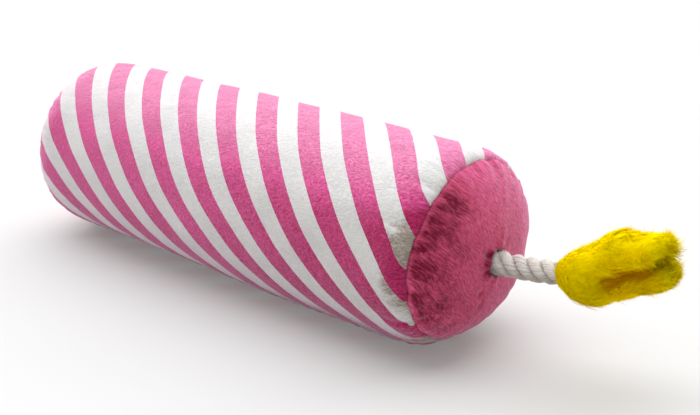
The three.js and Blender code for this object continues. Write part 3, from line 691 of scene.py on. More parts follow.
def panel_surface(front):
    t = np.linspace(0, 2 * math.pi, N_AROUND + 1)
    c, s = np.cos(t), np.sin(t)
    ring = ring_radius(t) if front else REAR_R + 0.35 * np.sin(2 * t + 0.6) + 0.3 * np.cos(3 * t)
    r0 = 6.0 if front else 0.02

    def crown(r):
        u = np.clip(r / ring, 0, 1)
        y, z = -u * c, u * s
        if front:
            h = 11.711 - 1.031 * z - 1.814 * y * y + 2.313 * z * z - 1.122 * y * z
            return 1.2 + (h + 1.3) * np.power(1 - u**2.827, 0.80)
        return 1.2 + 11.5 * np.power(1 - u**2.25, 0.80)

    rows = []
    if front:
        # the cloth is drawn up round the wick, most on its near side
        near_side = np.clip(np.cos(t - math.radians(8)), 0, 1) ** 1.5
        lip = crown(np.full_like(t, r0)) + 0.6 + 1.3 * near_side
        gape = 0.2 * near_side
        rows += [(lip - 6.0, HOLE_R + 0.1 + 0.5 * gape), (lip - 4.0, HOLE_R + 0.7 * gape)]
        rows += [(lip - 2.2, HOLE_R + gape), (lip - 1.1, HOLE_R + 0.15 + gape), (lip - 0.3, HOLE_R + 0.45 + gape)]
    for w in np.sin(np.linspace(0, math.pi / 2, 66)):
        r = r0 + (ring - r0) * w
        if front:
            r = r + gape * np.exp(-((w * 5.5) ** 1.5))
        x = crown(r)
        if front:
            x = x + (0.6 + 1.3 * near_side) * np.exp(-(((r - 6.0) / 2.6) ** 2))
        rows.append((x, r))
    base = 1.2
    for f, dr in ((0.72, 0.14), (0.40, 0.05), (0.20, -0.4), (0.14, -1.6), (0.12, -3.0)):
        rows.append((base * f + 0 * t, ring + dr))
    x = np.stack([q[0] for q in rows])
    r = np.stack([q[1] for q in rows])
    tt = t[None] * np.ones_like(x)
    c, s = np.cos(tt), np.sin(tt)
    p = np.stack([x, -r * c, r * s], -1)
    nn = grid_normals(p[:, :-1])
    nn = np.concatenate([nn, nn[:, :1]], 1)
    nn *= np.sign(nn[40, :, 0].sum())
    seed = 3.0 if front else 21.0
    rim = np.clip(ring[None] - r, 0, None)
    out_rim = x >= base * 0.7
    y, z = p[..., 1], p[..., 2]
    h = 0.50 * pleat(y / 26 + seed, z / 26, 1.0) + 0.30 * pleat(y / 11, z / 11, 5.0 + seed)
    # brushed streaks of nap
    if front:
        na, nc = 0.60 * y - 0.80 * z, 0.80 * y + 0.60 * z
    else:
        na, nc = 0.2 * y - 0.98 * z, 0.98 * y + 0.2 * z
    h += 0.06 * pleat(na / 9 + seed, nc / 2.6, 2.0) + 0.03 * pleat(na / 4, nc / 1.5, 9.0)
    h *= smooth(0, 5, rim)
    # gathers at the rim
    g = puckers(tt + 0.05, seed + 13, 32)
    if front:
        g = g * (0.55 - 0.30 * smooth(0.7, 1.2, tt) * (1 - smooth(2.4, 3.0, tt)))
        g = g * (0.35 + 1.1 * smooth(-0.2, 0.5, pleat(c * 2.3, s * 2.3, 31.0)))
    fine = wrinkle(c * 17 + seed, s * 17, rim / 10)
    h += (0.60 * g + 0.34 * fine) * np.exp(-((rim / 1.7) ** 1.3)) + (0.20 * g + 0.16 * fine) * np.exp(-rim / 4.0) * smooth(-0.1, 1.0, rim)
    dents = list(FRONT_DENTS) if front else []
    rng = np.random.default_rng(17)
    if not front:
        for k in range(15):
            dents.append((360 * (k + rng.uniform(-0.3, 0.3)) / 15, rng.uniform(1.2, 2.6), rng.uniform(0.5, 1.1), 3.2, 1.9))
    # painted shade in the crease at the rim and between the gathers, with random streaks of darker nap
    painted_shading = 0.5 * np.exp(-((rim / 0.5) ** 2)) * (x < base) + 0.3 * smooth(0.1, 0.9, -g) * np.exp(-rim / 3.5)
    painted_shading += 0.16 * smooth(0.0, 0.7, pleat(na / 13 + seed, nc / 6, 14.0))
    for deg, inward, depth, long_, wide in dents:
        a0 = math.radians(deg)
        r0_ = float(np.interp(a0 % (2 * math.pi), t, ring)) - inward
        dy, dz = -y - r0_ * math.cos(a0), z - r0_ * math.sin(a0)
        u = dy * math.cos(a0) + dz * math.sin(a0)
        v = -dy * math.sin(a0) + dz * math.cos(a0)
        dent = np.exp(-((u / long_) ** 2) - ((v / wide) ** 2))
        h -= depth * dent
        # painted shade in each dent
        painted_shading += 0.50 * depth * dent
    if front:
        # painted shade in a band along the left of the rim, the panel's shaded side, streaked like nap
        a_band = (np.degrees(tt) + 180) % 360 - 180
        left_rim_shade = (0.85 * np.exp(-rim / 5.5) + 0.42 * np.exp(-(((rim - 7) / 7.5) ** 2))) * smooth(-62, -20, a_band) * (1 - smooth(54, 84, a_band))
        painted_shading += 1.20 * left_rim_shade * smooth(-0.6, 2.0, rim) * (0.72 + 0.6 * pleat(y / 7, z / 7, 3.0) + 0.6 * pleat(na / 6, nc / 1.8, 15.0))
        # the cloth is drawn in where the wick is stitched
        h += 0.28 * np.exp(-(((r - 7.4) / 2.8) ** 2)) * np.sin(tt * 8 + 1.5 * pleat(c, s, 3)) * smooth(5.6, 6.6, r)
        for deg, dist, depth in ((38, 7.4, 1.5), (-18, 7.2, 1.3), (10, 8.2, 0.7)):
            a0 = math.radians(deg)
            dy, dz = -y - dist * math.cos(a0), z - dist * math.sin(a0)
            dent = np.exp(-(dy * dy + dz * dz) / 1.9**2)
            h -= depth * dent
            # painted shade in each dent
            painted_shading += 0.45 * depth * dent
        # a pulled fold above the hole
        a0 = math.radians(112)
        dy, dz = -y - 10.5 * math.cos(a0), z - 10.5 * math.sin(a0)
        u = dy * math.cos(a0) + dz * math.sin(a0)
        v = -dy * math.sin(a0) + dz * math.cos(a0)
        h += 0.40 * np.exp(-((u / 3.6) ** 2) - ((v / 2.0) ** 2))
        # painted shade inside the hole's lip, and a painted shadow in the recess beside the rope
        painted_shading += 0.85 * (1 - smooth(5.0, 6.1, r - 0.2 * np.clip(np.cos(tt - math.radians(8)), 0, 1) ** 1.5))
        near_hole = np.exp(-(((r - 5.6) / 2.5) ** 2)) * (0.5 + 0.5 * np.cos(tt - math.radians(14))) ** 2
        painted_shading += 1.05 * near_hole
        # painted shade low down, and a painted highlight along the top, the far side and the very rim
        painted_shading += 0.10 * smooth(-4, -28, z)
        lit = np.maximum(0.9 * smooth(6, 30, z), 0.8 * smooth(10, 32, y))
        lit = np.maximum(lit, 0.85 * np.exp(-(((rim - 0.5) / 0.8) ** 2)) * smooth(-70, -20, a_band) * (1 - 0.6 * smooth(15, 35, a_band)) * (0.8 + 0.5 * pleat(c * 9, s * 9, 4.0)))
        lit = lit * (1 - 0.90 * np.exp(-((rim / 9.0) ** 2)) * smooth(-20, 20, a_band) * (1 - smooth(62, 86, a_band)))
        painted_shading -= lit * (1 - 0.8 * np.clip(painted_shading, 0, 1))
    fade = np.where(out_rim, 1.0, smooth(0.2, 0.75, x / base))
    p = p + nn * (h * fade)[..., None]
    p[:, -1] = p[:, 0]
    return p, tt, na, nc, np.clip(painted_shading, -1, 1)


def panel_object(name, node, front):
    p, tt, na, nc, painted_shading = panel_surface(front)
    rings = len(p)
    if not front:
        p = p.copy()
        p[..., 0] = -BODY_LEN - p[..., 0] - rear_stretch(p[..., 2])
        p[..., 1:] *= (1 - 0.045 * smooth(-20, -34, p[..., 2]))[..., None]
    p[..., 2] = settle(p[..., 2])
    lengths = np.linalg.norm(np.diff(p, axis=0), axis=-1)
    lengths = np.concatenate([np.zeros((1, N_AROUND + 1)), np.cumsum(lengths, 0)])
    ring_u = lengths / lengths[-1].max()
    bake = np.stack([0.5 + 0.49 * ring_u * np.cos(tt), 0.5 + 0.49 * ring_u * np.sin(tt)], -1)
    faces = grid_faces(rings, N_AROUND, True)
    arrs = {
        "OFBake": bake,
        "Grain": np.stack([na * 0.1, nc * 0.1], -1),
        "StripesShading": np.stack([painted_shading * 0, painted_shading], -1),
    }
    maps = {k: grid_corners(v) for k, v in arrs.items()}
    if not front:
        faces = faces[:, ::-1]
        maps = {k: v.reshape(-1, 4, 2)[:, ::-1].reshape(-1, 2) for k, v in maps.items()}
    ob = make_mesh(name, p[:, :-1].reshape(-1, 3), [faces], [panel_mat], maps=maps)
    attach(ob, "body")
    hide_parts(node)
    return ob, p


front, front_pts = panel_object("plush_front_panel", "front_end_panel", True)
rear, rear_pts = panel_object("plush_rear_panel", "rear_end_panel", False)


# ------------------------------------------------------------------ wick
def catmull(points, n):
    """A centripetal curve through the points, n points evenly spaced along it."""
    pts = [np.asarray(p, float) for p in points]
    pts = [2 * pts[0] - pts[1]] + pts + [2 * pts[-1] - pts[-2]]
    out = []
    for k in range(1, len(pts) - 2):
        p0, p1, p2, p3 = pts[k - 1 : k + 3]
        d = [max(np.linalg.norm(b - a), 1e-6) ** 0.5 for a, b in ((p0, p1), (p1, p2), (p2, p3))]
        m1 = (p1 - p0) / d[0] - (p2 - p0) / (d[0] + d[1]) + (p2 - p1) / d[1]
        m2 = (p2 - p1) / d[1] - (p3 - p1) / (d[1] + d[2]) + (p3 - p2) / d[2]
        m1, m2 = m1 * d[1], m2 * d[1]
        for u in np.linspace(0, 1, 60, endpoint=False):
            u2, u3 = u * u, u * u * u
            out.append(
                (2 * u3 - 3 * u2 + 1) * p1 + (u3 - 2 * u2 + u) * m1 + (-2 * u3 + 3 * u2) * p2 + (u3 - u2) * m2
            )
    out.append(pts[-2])
    return along(out, n)


def direction(yaw, pitch):
    y, p = math.radians(yaw), math.radians(pitch)
    return np.array([math.cos(y) * math.cos(p), math.sin(y) * math.cos(p), math.sin(p)])


ROPE_STEPS = 190
line = catmull(
    [
        HOLE - [12, 0, 0],
        HOLE - [6, 0, 0],
        HOLE,
        (HOLE + NECK) / 2 + [0.3, 0, -0.5],
        NECK,
        NECK + 5.5 * direction(4, 9),
    ],
    ROPE_STEPS,
)
ROPE_LEN = np.linalg.norm(np.diff(line, axis=0), axis=1).sum()


def frames(line):
    t = unit(np.gradient(line, axis=0))
    side = unit(np.cross([0, 0, 1.0], t))
    return t, side, unit(np.cross(t, side))


def tube(line, radius, sides, twist=0.0):
    """Rings round a line; radius may vary along it."""
    t, side, top = frames(line)
    a = np.linspace(0, 2 * math.pi, sides, endpoint=False) + twist
    radius = np.broadcast_to(np.asarray(radius, float), (len(line),))
    ring = np.cos(a)[None, :, None] * side[:, None] + np.sin(a)[None, :, None] * top[:, None]
    return line[:, None] + ring * radius[:, None, None]


def tube_mesh(parts):
    """Several tubes with closed ends as one set of vertices and faces, with a map of length and angle."""
    verts, quads, tris, quv, tuv = [], [], [], [], []
    base = 0
    for rings, v0 in parts:
        n, m = rings.shape[:2]
        verts.append(rings.reshape(-1, 3))
        verts.append(rings[[0, -1]].mean(1))
        quads.append(grid_faces(n, m, True, base)[:, ::-1])
        lu = np.concatenate([[0], np.cumsum(np.linalg.norm(np.diff(rings.mean(1), axis=0), axis=1))])
        grid = np.stack(
            [lu[:, None] * np.ones(m + 1) * 0.1, np.ones(n)[:, None] * np.linspace(0, 1, m + 1) + v0], -1
        )
        quv.append(grid_corners(grid).reshape(-1, 4, 2)[:, ::-1].reshape(-1, 2))
        j = np.arange(m)
        j2 = (j + 1) % m
        a, b = base + n * m, base + n * m + 1
        tris.append(np.stack([np.full(m, a), j + base, j2 + base], -1))
        e = base + (n - 1) * m
        tris.append(np.stack([np.full(m, b), j2 + e, j + e], -1))
        tuv.append(np.zeros((m * 6, 2)) + [0, v0])
        base += n * m + 2
    return np.concatenate(verts), [np.concatenate(quads), np.concatenate(tris)], np.concatenate(quv + tuv)


def rope_material():
    m, tree, p = material("cotton_rope")
    n = Net(tree)
    uv = n.uv("Yarn")
    u, v, _ = n.xyz(uv)
    # fibres run round each yarn at a slant
    slant = n.math("ADD", n.math("MULTIPLY", v, 9.0), n.math("MULTIPLY", u, 30.0))
    hair = n.noise(n.join(n.math("MULTIPLY", u, 26.0), slant, 0.0), 1.0, 3.0, 0.65, 0.4)
    soft = n.noise(n.join(n.math("MULTIPLY", u, 2.0), v, 0.0), 1.0, 2.0, 0.5)
    k = n.math("ADD", n.ramp(hair, 0.3, 0.7, 0.88, 1.05), n.ramp(soft, 0.3, 0.7, -0.04, 0.04))
    # the map's second value is painted shade, which mixes in a darker tint
    _, painted_shading, _ = n.xyz(n.uv("StripesShading"))
    cloth = n.mix(1.0, rgb(*ROPE), n.join(k, k, k), "MULTIPLY")
    n.put(p.inputs["Base Color"], n.mix(painted_shading, cloth, n.mix(1.0, cloth, rgb(0.50, 0.46, 0.42), "MULTIPLY")))
    n.put(p.inputs["Normal"], n.bump(hair, 0.0003, 0.6))
    n.put(p.inputs["Roughness"], n.ramp(hair, 0.3, 0.7, 0.95, 0.8))
    p.inputs["Specular IOR Level"].default_value = 0.15
    p.inputs["Sheen Weight"].default_value = 0.35
    p.inputs["Sheen Roughness"].default_value = 0.5
    return m


rope_mat = rope_material()
LAY_PITCH, LAY_R, STRAND_R, LAY_TURN = 18.6, 2.55, 2.16, -0.36
tangent, side, top = frames(line)
u_len = np.linspace(0, ROPE_LEN, ROPE_STEPS)
parts = []
rng = np.random.default_rng(4)
for k in range(3):
    a = k * 2 * math.pi / 3 + 2 * math.pi * u_len / LAY_PITCH + LAY_TURN
    centre = line + LAY_R * (np.cos(a)[:, None] * side + np.sin(a)[:, None] * top)
    parts.append((tube(centre, STRAND_R - 0.42, 14), k * 20.0))
    t2, s2, o2 = frames(centre)
    yarns = 11
    for y in range(yarns):
        b = 2 * math.pi * y / yarns - 2 * math.pi * u_len / 11.0 + rng.uniform(-0.12, 0.12)
        lift = STRAND_R - 0.50 + 0.07 * np.sin(u_len * 0.9 + rng.uniform(0, 6)) + rng.uniform(-0.06, 0.06)
        yc = centre + (lift * np.cos(b))[:, None] * s2 + (lift * np.sin(b))[:, None] * o2
        parts.append((tube(yc, 0.56 + 0.04 * np.sin(u_len * 2.1 + y), 7), k * 20.0 + 1 + y))
co, fcs, yarn_uv = tube_mesh(parts)
n_rope = len(co)


def fuzz_on(points, normals, tangents, count, length, width, seed, lift=0.6):
    """Short single-bladed fibres that start at some of the points."""
    rng = np.random.default_rng(seed)
    pick = rng.integers(0, len(points), count)
    root, nn, tt = points[pick], normals[pick], tangents[pick]
    bb = np.cross(nn, tt)
    a = rng.uniform(0, 2 * math.pi, count)[:, None]
    flat = np.cos(a) * tt + np.sin(a) * bb
    d = unit(lift * nn * rng.uniform(0.4, 1.6, (count, 1)) + flat)
    w = unit(np.cross(d, nn)) * width
    ln = length * rng.uniform(0.4, 1.3, (count, 1))
    curl = nn * rng.uniform(-0.25, 0.35, (count, 1)) * ln
    a0, a1 = root - w / 2, root + w / 2
    m0 = root + d * ln * 0.55
    tip = root + d * ln + curl
    v = np.stack([a0, a1, m0 + w * 0.35, m0 - w * 0.35, tip], 1)
    return v.reshape(-1, 3), nn


# fuzz on the rope, thickest where it leaves the panel
ring_all = tube(line, LAY_R + STRAND_R - 0.25, 40)
nr = unit(ring_all - line[:, None])
tg = np.broadcast_to(tangent[:, None], ring_all.shape)
ar = np.arctan2(
    ((ring_all - line[:, None]) * top[:, None]).sum(-1), ((ring_all - line[:, None]) * side[:, None]).sum(-1)
)
wave = np.cos(3 * (ar - LAY_TURN - 2 * math.pi * u_len[:, None] / LAY_PITCH))
crest = (LAY_R + STRAND_R - 0.30) - 0.75 * (0.5 - 0.5 * wave)
ring_all = line[:, None] + nr * crest[..., None]
vis = u_len > 13.6
first = (u_len > 14.4) & (u_len < 18.0)
f1, _ = fuzz_on(ring_all[vis].reshape(-1, 3), nr[vis].reshape(-1, 3), tg[vis].reshape(-1, 3), 2600, 1.0, 0.07, 71)
f2, _ = fuzz_on(ring_all[first].reshape(-1, 3), nr[first].reshape(-1, 3), tg[first].reshape(-1, 3), 1500, 1.7, 0.09, 72, 0.9)
fz = np.concatenate([f1, f2])
nf = len(fz) // 5
i5 = n_rope + np.arange(nf)[:, None] * 5
fz_quads = np.concatenate([i5, i5 + 1, i5 + 2, i5 + 3], 1)
fz_tris = np.concatenate([i5 + 3, i5 + 2, i5 + 4], 1)
zero = np.random.default_rng(9).uniform(0, 3, (nf, 2))
yarn_uv = np.concatenate(
    [
        yarn_uv[: len(fcs[0]) * 4],
        np.repeat(zero, 4, 0),
        yarn_uv[len(fcs[0]) * 4 :],
        np.repeat(zero, 3, 0),
    ]
)
wick_co = np.concatenate([co, fz])
wick_faces = [np.concatenate([fcs[0], fz_quads]), np.concatenate([fcs[1], fz_tris])]
# painted shade between the strands
step = np.abs(wick_co[:, None, :] - line[None, ::3, :]).sum(-1).argmin(1) * 3
off = wick_co - line[step]
off -= (off * tangent[step]).sum(-1, keepdims=True) * tangent[step]
rope_painted_shade = 0.60 * (1 - smooth(2.7, 4.35, np.linalg.norm(off, axis=1)))
# painted shade on the side that faces the floor; the rope is also darker from 15 mm along, a painted light that leaves
# the stretch next to the panel lighter
rope_painted_shade = np.clip(0.85 * rope_painted_shade + 0.20 * smooth(15.0, 24.0, u_len[step]) + 0.66 * smooth(0.25, -0.8, (unit(off) * top[step]).sum(-1)), 0, 1)
corner_painted_shade = rope_painted_shade[np.concatenate([f.ravel() for f in wick_faces])]
wick = make_mesh(
    "wick_rope",
    wick_co,
    wick_faces,
    [rope_mat],
    maps={"Yarn": yarn_uv, "StripesShading": np.stack([corner_painted_shade * 0, corner_painted_shade], -1)},
)
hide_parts("wick_strand_1", "wick_strand_2", "wick_strand_3")
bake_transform(wick)

# ------------------------------------------------------------------ flame
fx = direction(6, 22.5)
fy = unit(np.cross([0, 0, 1.0], fx))
fz_axis = unit(np.cross(fx, fy))
FLAME = np.stack([fx, fy, fz_axis])  # rows: the flame's own axes


def to_flame(p):
    return NECK + p @ FLAME


# half width, half thickness and middle of the pile's outside, along the flame
F_X = np.array([0.2, 2.2, 4.5, 7.0, 10.0, 15.0, 20.0, 25.0, 28.0, 31.0, 35.0, 40.0, 45.0, 49.5])
F_W = np.array([5.2, 7.4, 9.8, 12.0, 13.9, 15.7, 16.5, 16.9, 16.7, 16.3, 15.4, 13.2, 10.2, 5.8])
F_UP = np.array([4.8, 5.6, 6.6, 7.5, 8.5, 9.6, 10.8, 12.6, 12.2, 10.4, 8.8, 7.8, 6.6, 4.2])
F_LOW = np.array([5.4, 8.2, 11.2, 13.0, 14.2, 14.7, 14.5, 14.2, 13.9, 13.6, 13.1, 12.2, 10.2, 6.6])
F_C = -1.5
CORE_END = 46.4
flame_noise = Noise(83)


def valley(x):
    """Where round the flame its near seam runs."""
    return np.interp(x, [10, 16, 30, 44], [-0.32, -0.32, -0.20, -0.12])


def parting(x, a):
    """1 along the seam on the near side, where the fur parts widest, less on the far side, 0 elsewhere."""
    near = np.exp(-((np.angle(np.exp(1j * (a - valley(x)))) / 0.47) ** 2))
    near = near * smooth(11, 22, x)
    far = 0.5 * np.exp(-((np.angle(np.exp(1j * (a - math.pi))) / 0.30) ** 2)) * smooth(12, 22, x)
    return near + far


def notch(x, z):
    """How far the tip is drawn back between its two lobes."""
    return 5.0 * np.exp(-(((z + 3.0) / 2.7) ** 2)) * smooth(36.5, 45.0, x)


def flame_point(x, a, inset):
    """A point of the flame's surface: x along it, a round it from its near side, inset below the pile's outside."""
    w = np.interp(x, F_X, F_W) - inset
    up, low = np.interp(x, F_X, F_UP) - F_C - inset, np.interp(x, F_X, F_LOW) + F_C - inset
    ca, sa = np.cos(a), np.sin(a)
    t = np.where(sa > 0, up, low)
    lumps = 1 + 0.06 * flame_noise(x / 8, ca * 1.9, sa * 1.9)
    k = lumps * (1 - 0.38 * parting(x, a))
    # the two sides close together at the tip
    end = smooth(37.5, CORE_END + 0.2, x + 3.2 * parting(x, a) * (np.cos(a) > 0))
    k = k * np.sqrt(np.maximum(1 - end**2, 0.0))
    z = F_C + t * sa * k
    return np.stack([x - notch(x, z), -w * ca * k, z], -1)


def flame_core():
    n, m = 100, 130
    x = np.linspace(0.6, CORE_END, n)
    a = np.linspace(0, 2 * math.pi, m + 1)
    xx, aa = np.meshgrid(x, a, indexing="ij")
    return flame_point(xx, aa, 1.8)


core = flame_core()
core[:, -1] = core[:, 0]
n_c, m_c = core.shape[0], core.shape[1] - 1
core_world = to_flame(core)


def fur_material():
    m, tree, p = material("yellow_fur")
    n = Net(tree)
    uv = n.uv("Grain")
    u, v, _ = n.xyz(uv)
    strands = n.noise(n.join(n.math("MULTIPLY", u, 1.6), n.math("MULTIPLY", v, 14.0), 0.0), 1.0, 3.0, 0.6, 0.5)
    patch = n.noise(uv, 0.8, 2.0, 0.5)
    k = n.math("ADD", n.ramp(strands, 0.3, 0.7, 0.72, 1.0), n.ramp(patch, 0.3, 0.7, -0.04, 0.04))
    n.put(p.inputs["Base Color"], n.mix(1.0, rgb(*YELLOW), n.join(k, k, k), "MULTIPLY"))
    n.put(p.inputs["Normal"], n.bump(strands, 0.001, 0.8))
    n.put(p.inputs["Roughness"], n.ramp(strands, 0.3, 0.7, 0.95, 0.85))
    p.inputs["Specular IOR Level"].default_value = 0.05
    return m


fur_base = fur_material()
grain = np.stack([core[..., 0] * 0.1, np.linspace(0, 8.5, m_c + 1)[None] * np.ones((n_c, 1))], -1)
bake = np.stack(
    [0.01 + 0.98 * np.linspace(0, 1, n_c)[:, None] * np.ones(m_c + 1), 0.01 + 0.98 * np.linspace(0, 1, m_c + 1)[None] * np.ones((n_c, 1))], -1
)
cv = core_world[:, :-1].reshape(-1, 3)
caps = np.stack([core_world[0, :-1].mean(0), core_world[-1, :-1].mean(0)])
jj = np.arange(m_c)
jn = (jj + 1) % m_c
cap_a = np.stack([np.full(m_c, len(cv)), jn, jj], -1)
cap_b = np.stack([np.full(m_c, len(cv) + 1), (n_c - 1) * m_c + jj, (n_c - 1) * m_c + jn], -1)
gmap = grid_corners(grain)
bmap = grid_corners(bake)
core_ob = make_mesh(
    "flame_backing",
    np.concatenate([cv, caps]),
    [grid_faces(n_c, m_c, True), np.concatenate([cap_a, cap_b])],
    [fur_base],
    maps={
        "OFBake": np.concatenate([bmap, np.tile([[0.002, 0.002], [0.004, 0.002], [0.004, 0.004]], (2 * m_c, 1))]),
        "Grain": np.concatenate([gmap, np.zeros((6 * m_c, 2))]),
    },
)
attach(core_ob, "flame")
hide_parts("flame_upper_panel", "flame_lower_panel")

# four shades of yellow fur; the darkest mostly serves as painted shade
yellows = [
    fibre("yellow_fur_shade", (0.62, 0.285, 0.0)),
    fibre("yellow_fur_deep", (0.92, 0.640, 0.0)),
    fibre("yellow_fur_mid", (0.98, 0.755, 0.0)),
    fibre("yellow_fur_light", (1.0, 0.830, 0.0)),
]


def flame_fur(name, seed, count, upper):
    """Curved tapering fibres in locks, combed from the neck to the tip and away from the seam."""
    rng = np.random.default_rng(seed)
    inset = 2.0
    locks = 1000
    lx = rng.uniform(0.4, 45.4, locks)
    la = rng.uniform(0.02, math.pi - 0.02, locks) + (0 if upper else math.pi)
    pick = rng.integers(0, locks, count)
    x = np.clip(lx[pick] + rng.normal(0, 1.5, count), 0.3, 46.0)
    a = la[pick] + rng.normal(0, 0.11, count)
    lo, hi = (0.0, math.pi) if upper else (math.pi, 2 * math.pi)
    a = lo + np.abs(a - lo)
    a = hi - np.abs(hi - a)

    def at(x, a):
        return flame_point(x, a, inset)

    root = at(x, a)
    du = at(x + 0.3, a) - at(x - 0.3, a)
    dv = at(x, a + 0.02) - at(x, a - 0.02)
    nn = unit(np.cross(dv, du))
    flip = (nn * (root - np.stack([root[:, 0] - 2, x * 0, x * 0 + F_C], -1))).sum(-1) < 0
    nn[flip] *= -1
    tt = unit(du)
    part_ = parting(x, a)
    # painted shade: the fibres take darker shades to either side of the parting
    parting_shade = np.exp(-((np.angle(np.exp(1j * (a - valley(x) + 0.06))) / 0.56) ** 2)) * smooth(12, 23, x) * (1 - smooth(38, 45, x))
    lock_rng = np.random.default_rng(seed + 1)
    sway = lock_rng.normal(0, 0.20, locks)[pick] + rng.normal(0, 0.12, count)
    lift = lock_rng.normal(0.38, 0.05, locks)[pick] + rng.normal(0, 0.05, count)
    # round the neck the fur stands out over the rope
    collar = (1 - smooth(1.5, 9.0, x)) * rng.uniform(0, 1, count) ** 0.9
    lift = lift + 1.1 * collar
    sway = sway + rng.normal(0, 0.5, count) * collar
    lift = np.clip(lift, 0.12, None) * (1 - 0.30 * part_)
    ln = (6.2 + lock_rng.normal(0, 0.4, locks)[pick]) * rng.uniform(0.72, 1.10, count)
    ends = 1 - smooth(4, 12, x)
    stray = rng.uniform(0, 1, count) > 0.990 - 0.05 * ends - 0.02 * smooth(36, 44, x)
    ln[stray] *= 1.45 + 0.25 * ends[stray]
    lift[stray] += 0.25 + 0.9 * ends[stray]
    ln *= np.interp(x, [0, 6, 30, 40, 45], [0.70, 0.90, 1.0, 1.12, 1.30]) * (1 - 0.35 * part_)
    ln *= 1 - 0.5 * np.exp(-(((root[:, 2] + 3.0) / 2.4) ** 2)) * smooth(39, 44, x)
    bb = np.cross(nn, tt)
    fwd = unit(tt + sway[:, None] * bb + [0.45, 0, 0])
    away = np.zeros_like(fwd)
    near = np.cos(a) > 0
    side_ = np.where(near, np.sign(np.angle(np.exp(1j * (a - valley(x))))), 1 if upper else -1)
    away[:, 2] = (1 if upper else -1) * smooth(20, 40, x) * 0.22 + np.sign(root[:, 2] + 3.0) * 0.40 * smooth(37, 45, x) + side_ * 0.45 * part_
    d0 = unit(fwd + lift[:, None] * nn + away)
    lock_root = at(lx, la)[pick]
    rows = 5
    s = np.linspace(0, 1, rows)
    curl = lock_rng.normal(0, 0.24, locks)[pick][:, None] + rng.normal(0, 0.12, (count, 1))
    pts = []
    for k in s:
        bend = -nn * (lift * 0.60)[:, None] * (k * k) + bb * curl * k * k
        q = root + (d0 * k + bend) * ln[:, None]
        gather = 0.34 * k**1.6
        q = q * (1 - gather) + (lock_root + (q - root)) * gather
        pts.append(q)
    pts = np.stack(pts, 1)
    pts += rng.normal(0, 0.14, (count, 1, 3)) * s[None, :, None] ** 1.4
    dirs = unit(pts[:, 1:] - pts[:, :-1])
    dirs = np.concatenate([dirs, dirs[:, -1:]], 1)
    wide = unit(np.cross(dirs, nn[:, None] + rng.normal(0, 0.4, (count, 1, 3))))
    width = 0.17 * rng.uniform(0.7, 1.25, (count, 1, 1)) * np.array([1.0, 1.0, 0.85, 0.6, 0.12])[None, :, None]
    left, right = pts - wide * width / 2, pts + wide * width / 2
    v = np.stack([left, right], 2).reshape(count, rows * 2, 3)
    v = to_flame(v.reshape(-1, 3))
    base = np.arange(count)[:, None] * rows * 2
    quads = []
    for k in range(rows - 1):
        quads.append(np.concatenate([base + 2 * k, base + 2 * k + 1, base + 2 * k + 3, base + 2 * k + 2], 1))
    quads = np.stack(quads, 1).reshape(-1, 4)
    # painted shade: darker shades at each fibre's root end, in the parting and beside it; a painted highlight lightens
    # the fibres toward the tip
    tone = lock_rng.normal(0, 0.12, locks)[pick] + rng.normal(0, 0.16, count) - 2.5 * np.maximum(part_ * (1 - smooth(37, 44, x)), parting_shade) + 1.2 * smooth(35, 43, x)
    idx = np.clip(np.round(tone[:, None] + np.array([0.9, 1.8, 2.4, 2.7])[None]), 0, 3).astype(int)
    normal = unit(nn[:, None] + rng.normal(0, 0.035, (count, 1, 3)))
    normal = np.broadcast_to(normal, (count, rows, 3))
    normal = np.repeat(normal.reshape(count, rows, 1, 3), 2, 2).reshape(-1, 3) @ FLAME
    ob = make_mesh(name, v, [quads], yellows, index=idx.ravel(), normals=unit(normal))
    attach(ob, "flame")
    return ob


fur_up = flame_fur("flame_fur_upper", 101, 46000, True)
fur_low = flame_fur("flame_fur_lower", 202, 43000, False)


# ------------------------------------------------------------------ inner parts drawn in to suit the softer outline
def fitted(node, name, fit, body, mat):
    """A copy of a modelled part with its points moved by fit, which takes and gives local millimetres."""
    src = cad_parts[node]
    me = src.data.copy()
    me.name = name
    co = np.empty(len(me.vertices) * 3, np.float32)
    me.vertices.foreach_get("co", co)
    m = np.array(src.matrix_world, float)
    co = co.reshape(-1, 3) @ m[:3, :3].T + m[:3, 3]
    local = fit(co / MM - SHIFT)
    me.vertices.foreach_set("co", ((local + SHIFT) * MM).astype(np.float32).ravel())
    me.materials.clear()
    me.materials.append(mat)
    me.update()
    ob = bpy.data.objects.new(name, me)
    bpy.context.scene.collection.objects.link(ob)
    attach(ob, body)
    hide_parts(node)
    return ob


order = np.argsort(-profile[3:-3, 0])
prof_x, prof_r = -profile[3:-3, 0][order], profile[3:-3, 1][order]


def skin_radius(x, t):
    r = np.interp(-x, prof_x, prof_r)
    d = np.clip(-x - 0.5, 0, None)
    ring = ring_radius(t) - SEAM_R
    return r + ring * (1 - smooth(0.0, np.where(ring < 0, 24.0, 13.0), d))


def inside_body(p):
    r = np.hypot(p[:, 1], p[:, 2])
    t = np.arctan2(p[:, 2], -p[:, 1])
    most = skin_radius(p[:, 0], t) - 2.9
    k = np.minimum(1.0, most / np.maximum(r, 1e-6))
    out = p.copy()
    out[:, 1:] *= k[:, None]
    return out


def in_front_ring(p):
    t = np.arctan2(p[:, 2], -p[:, 1])
    out = p.copy()
    out[:, 1:] *= ((ring_radius(t) - 0.8) / SEAM_R)[:, None]
    return out


def in_rear_ring(p):
    out = p.copy()
    out[:, 1:] *= (REAR_R - 1.6) / SEAM_R
    out[:, 0] -= rear_stretch(out[:, 2])
    return out


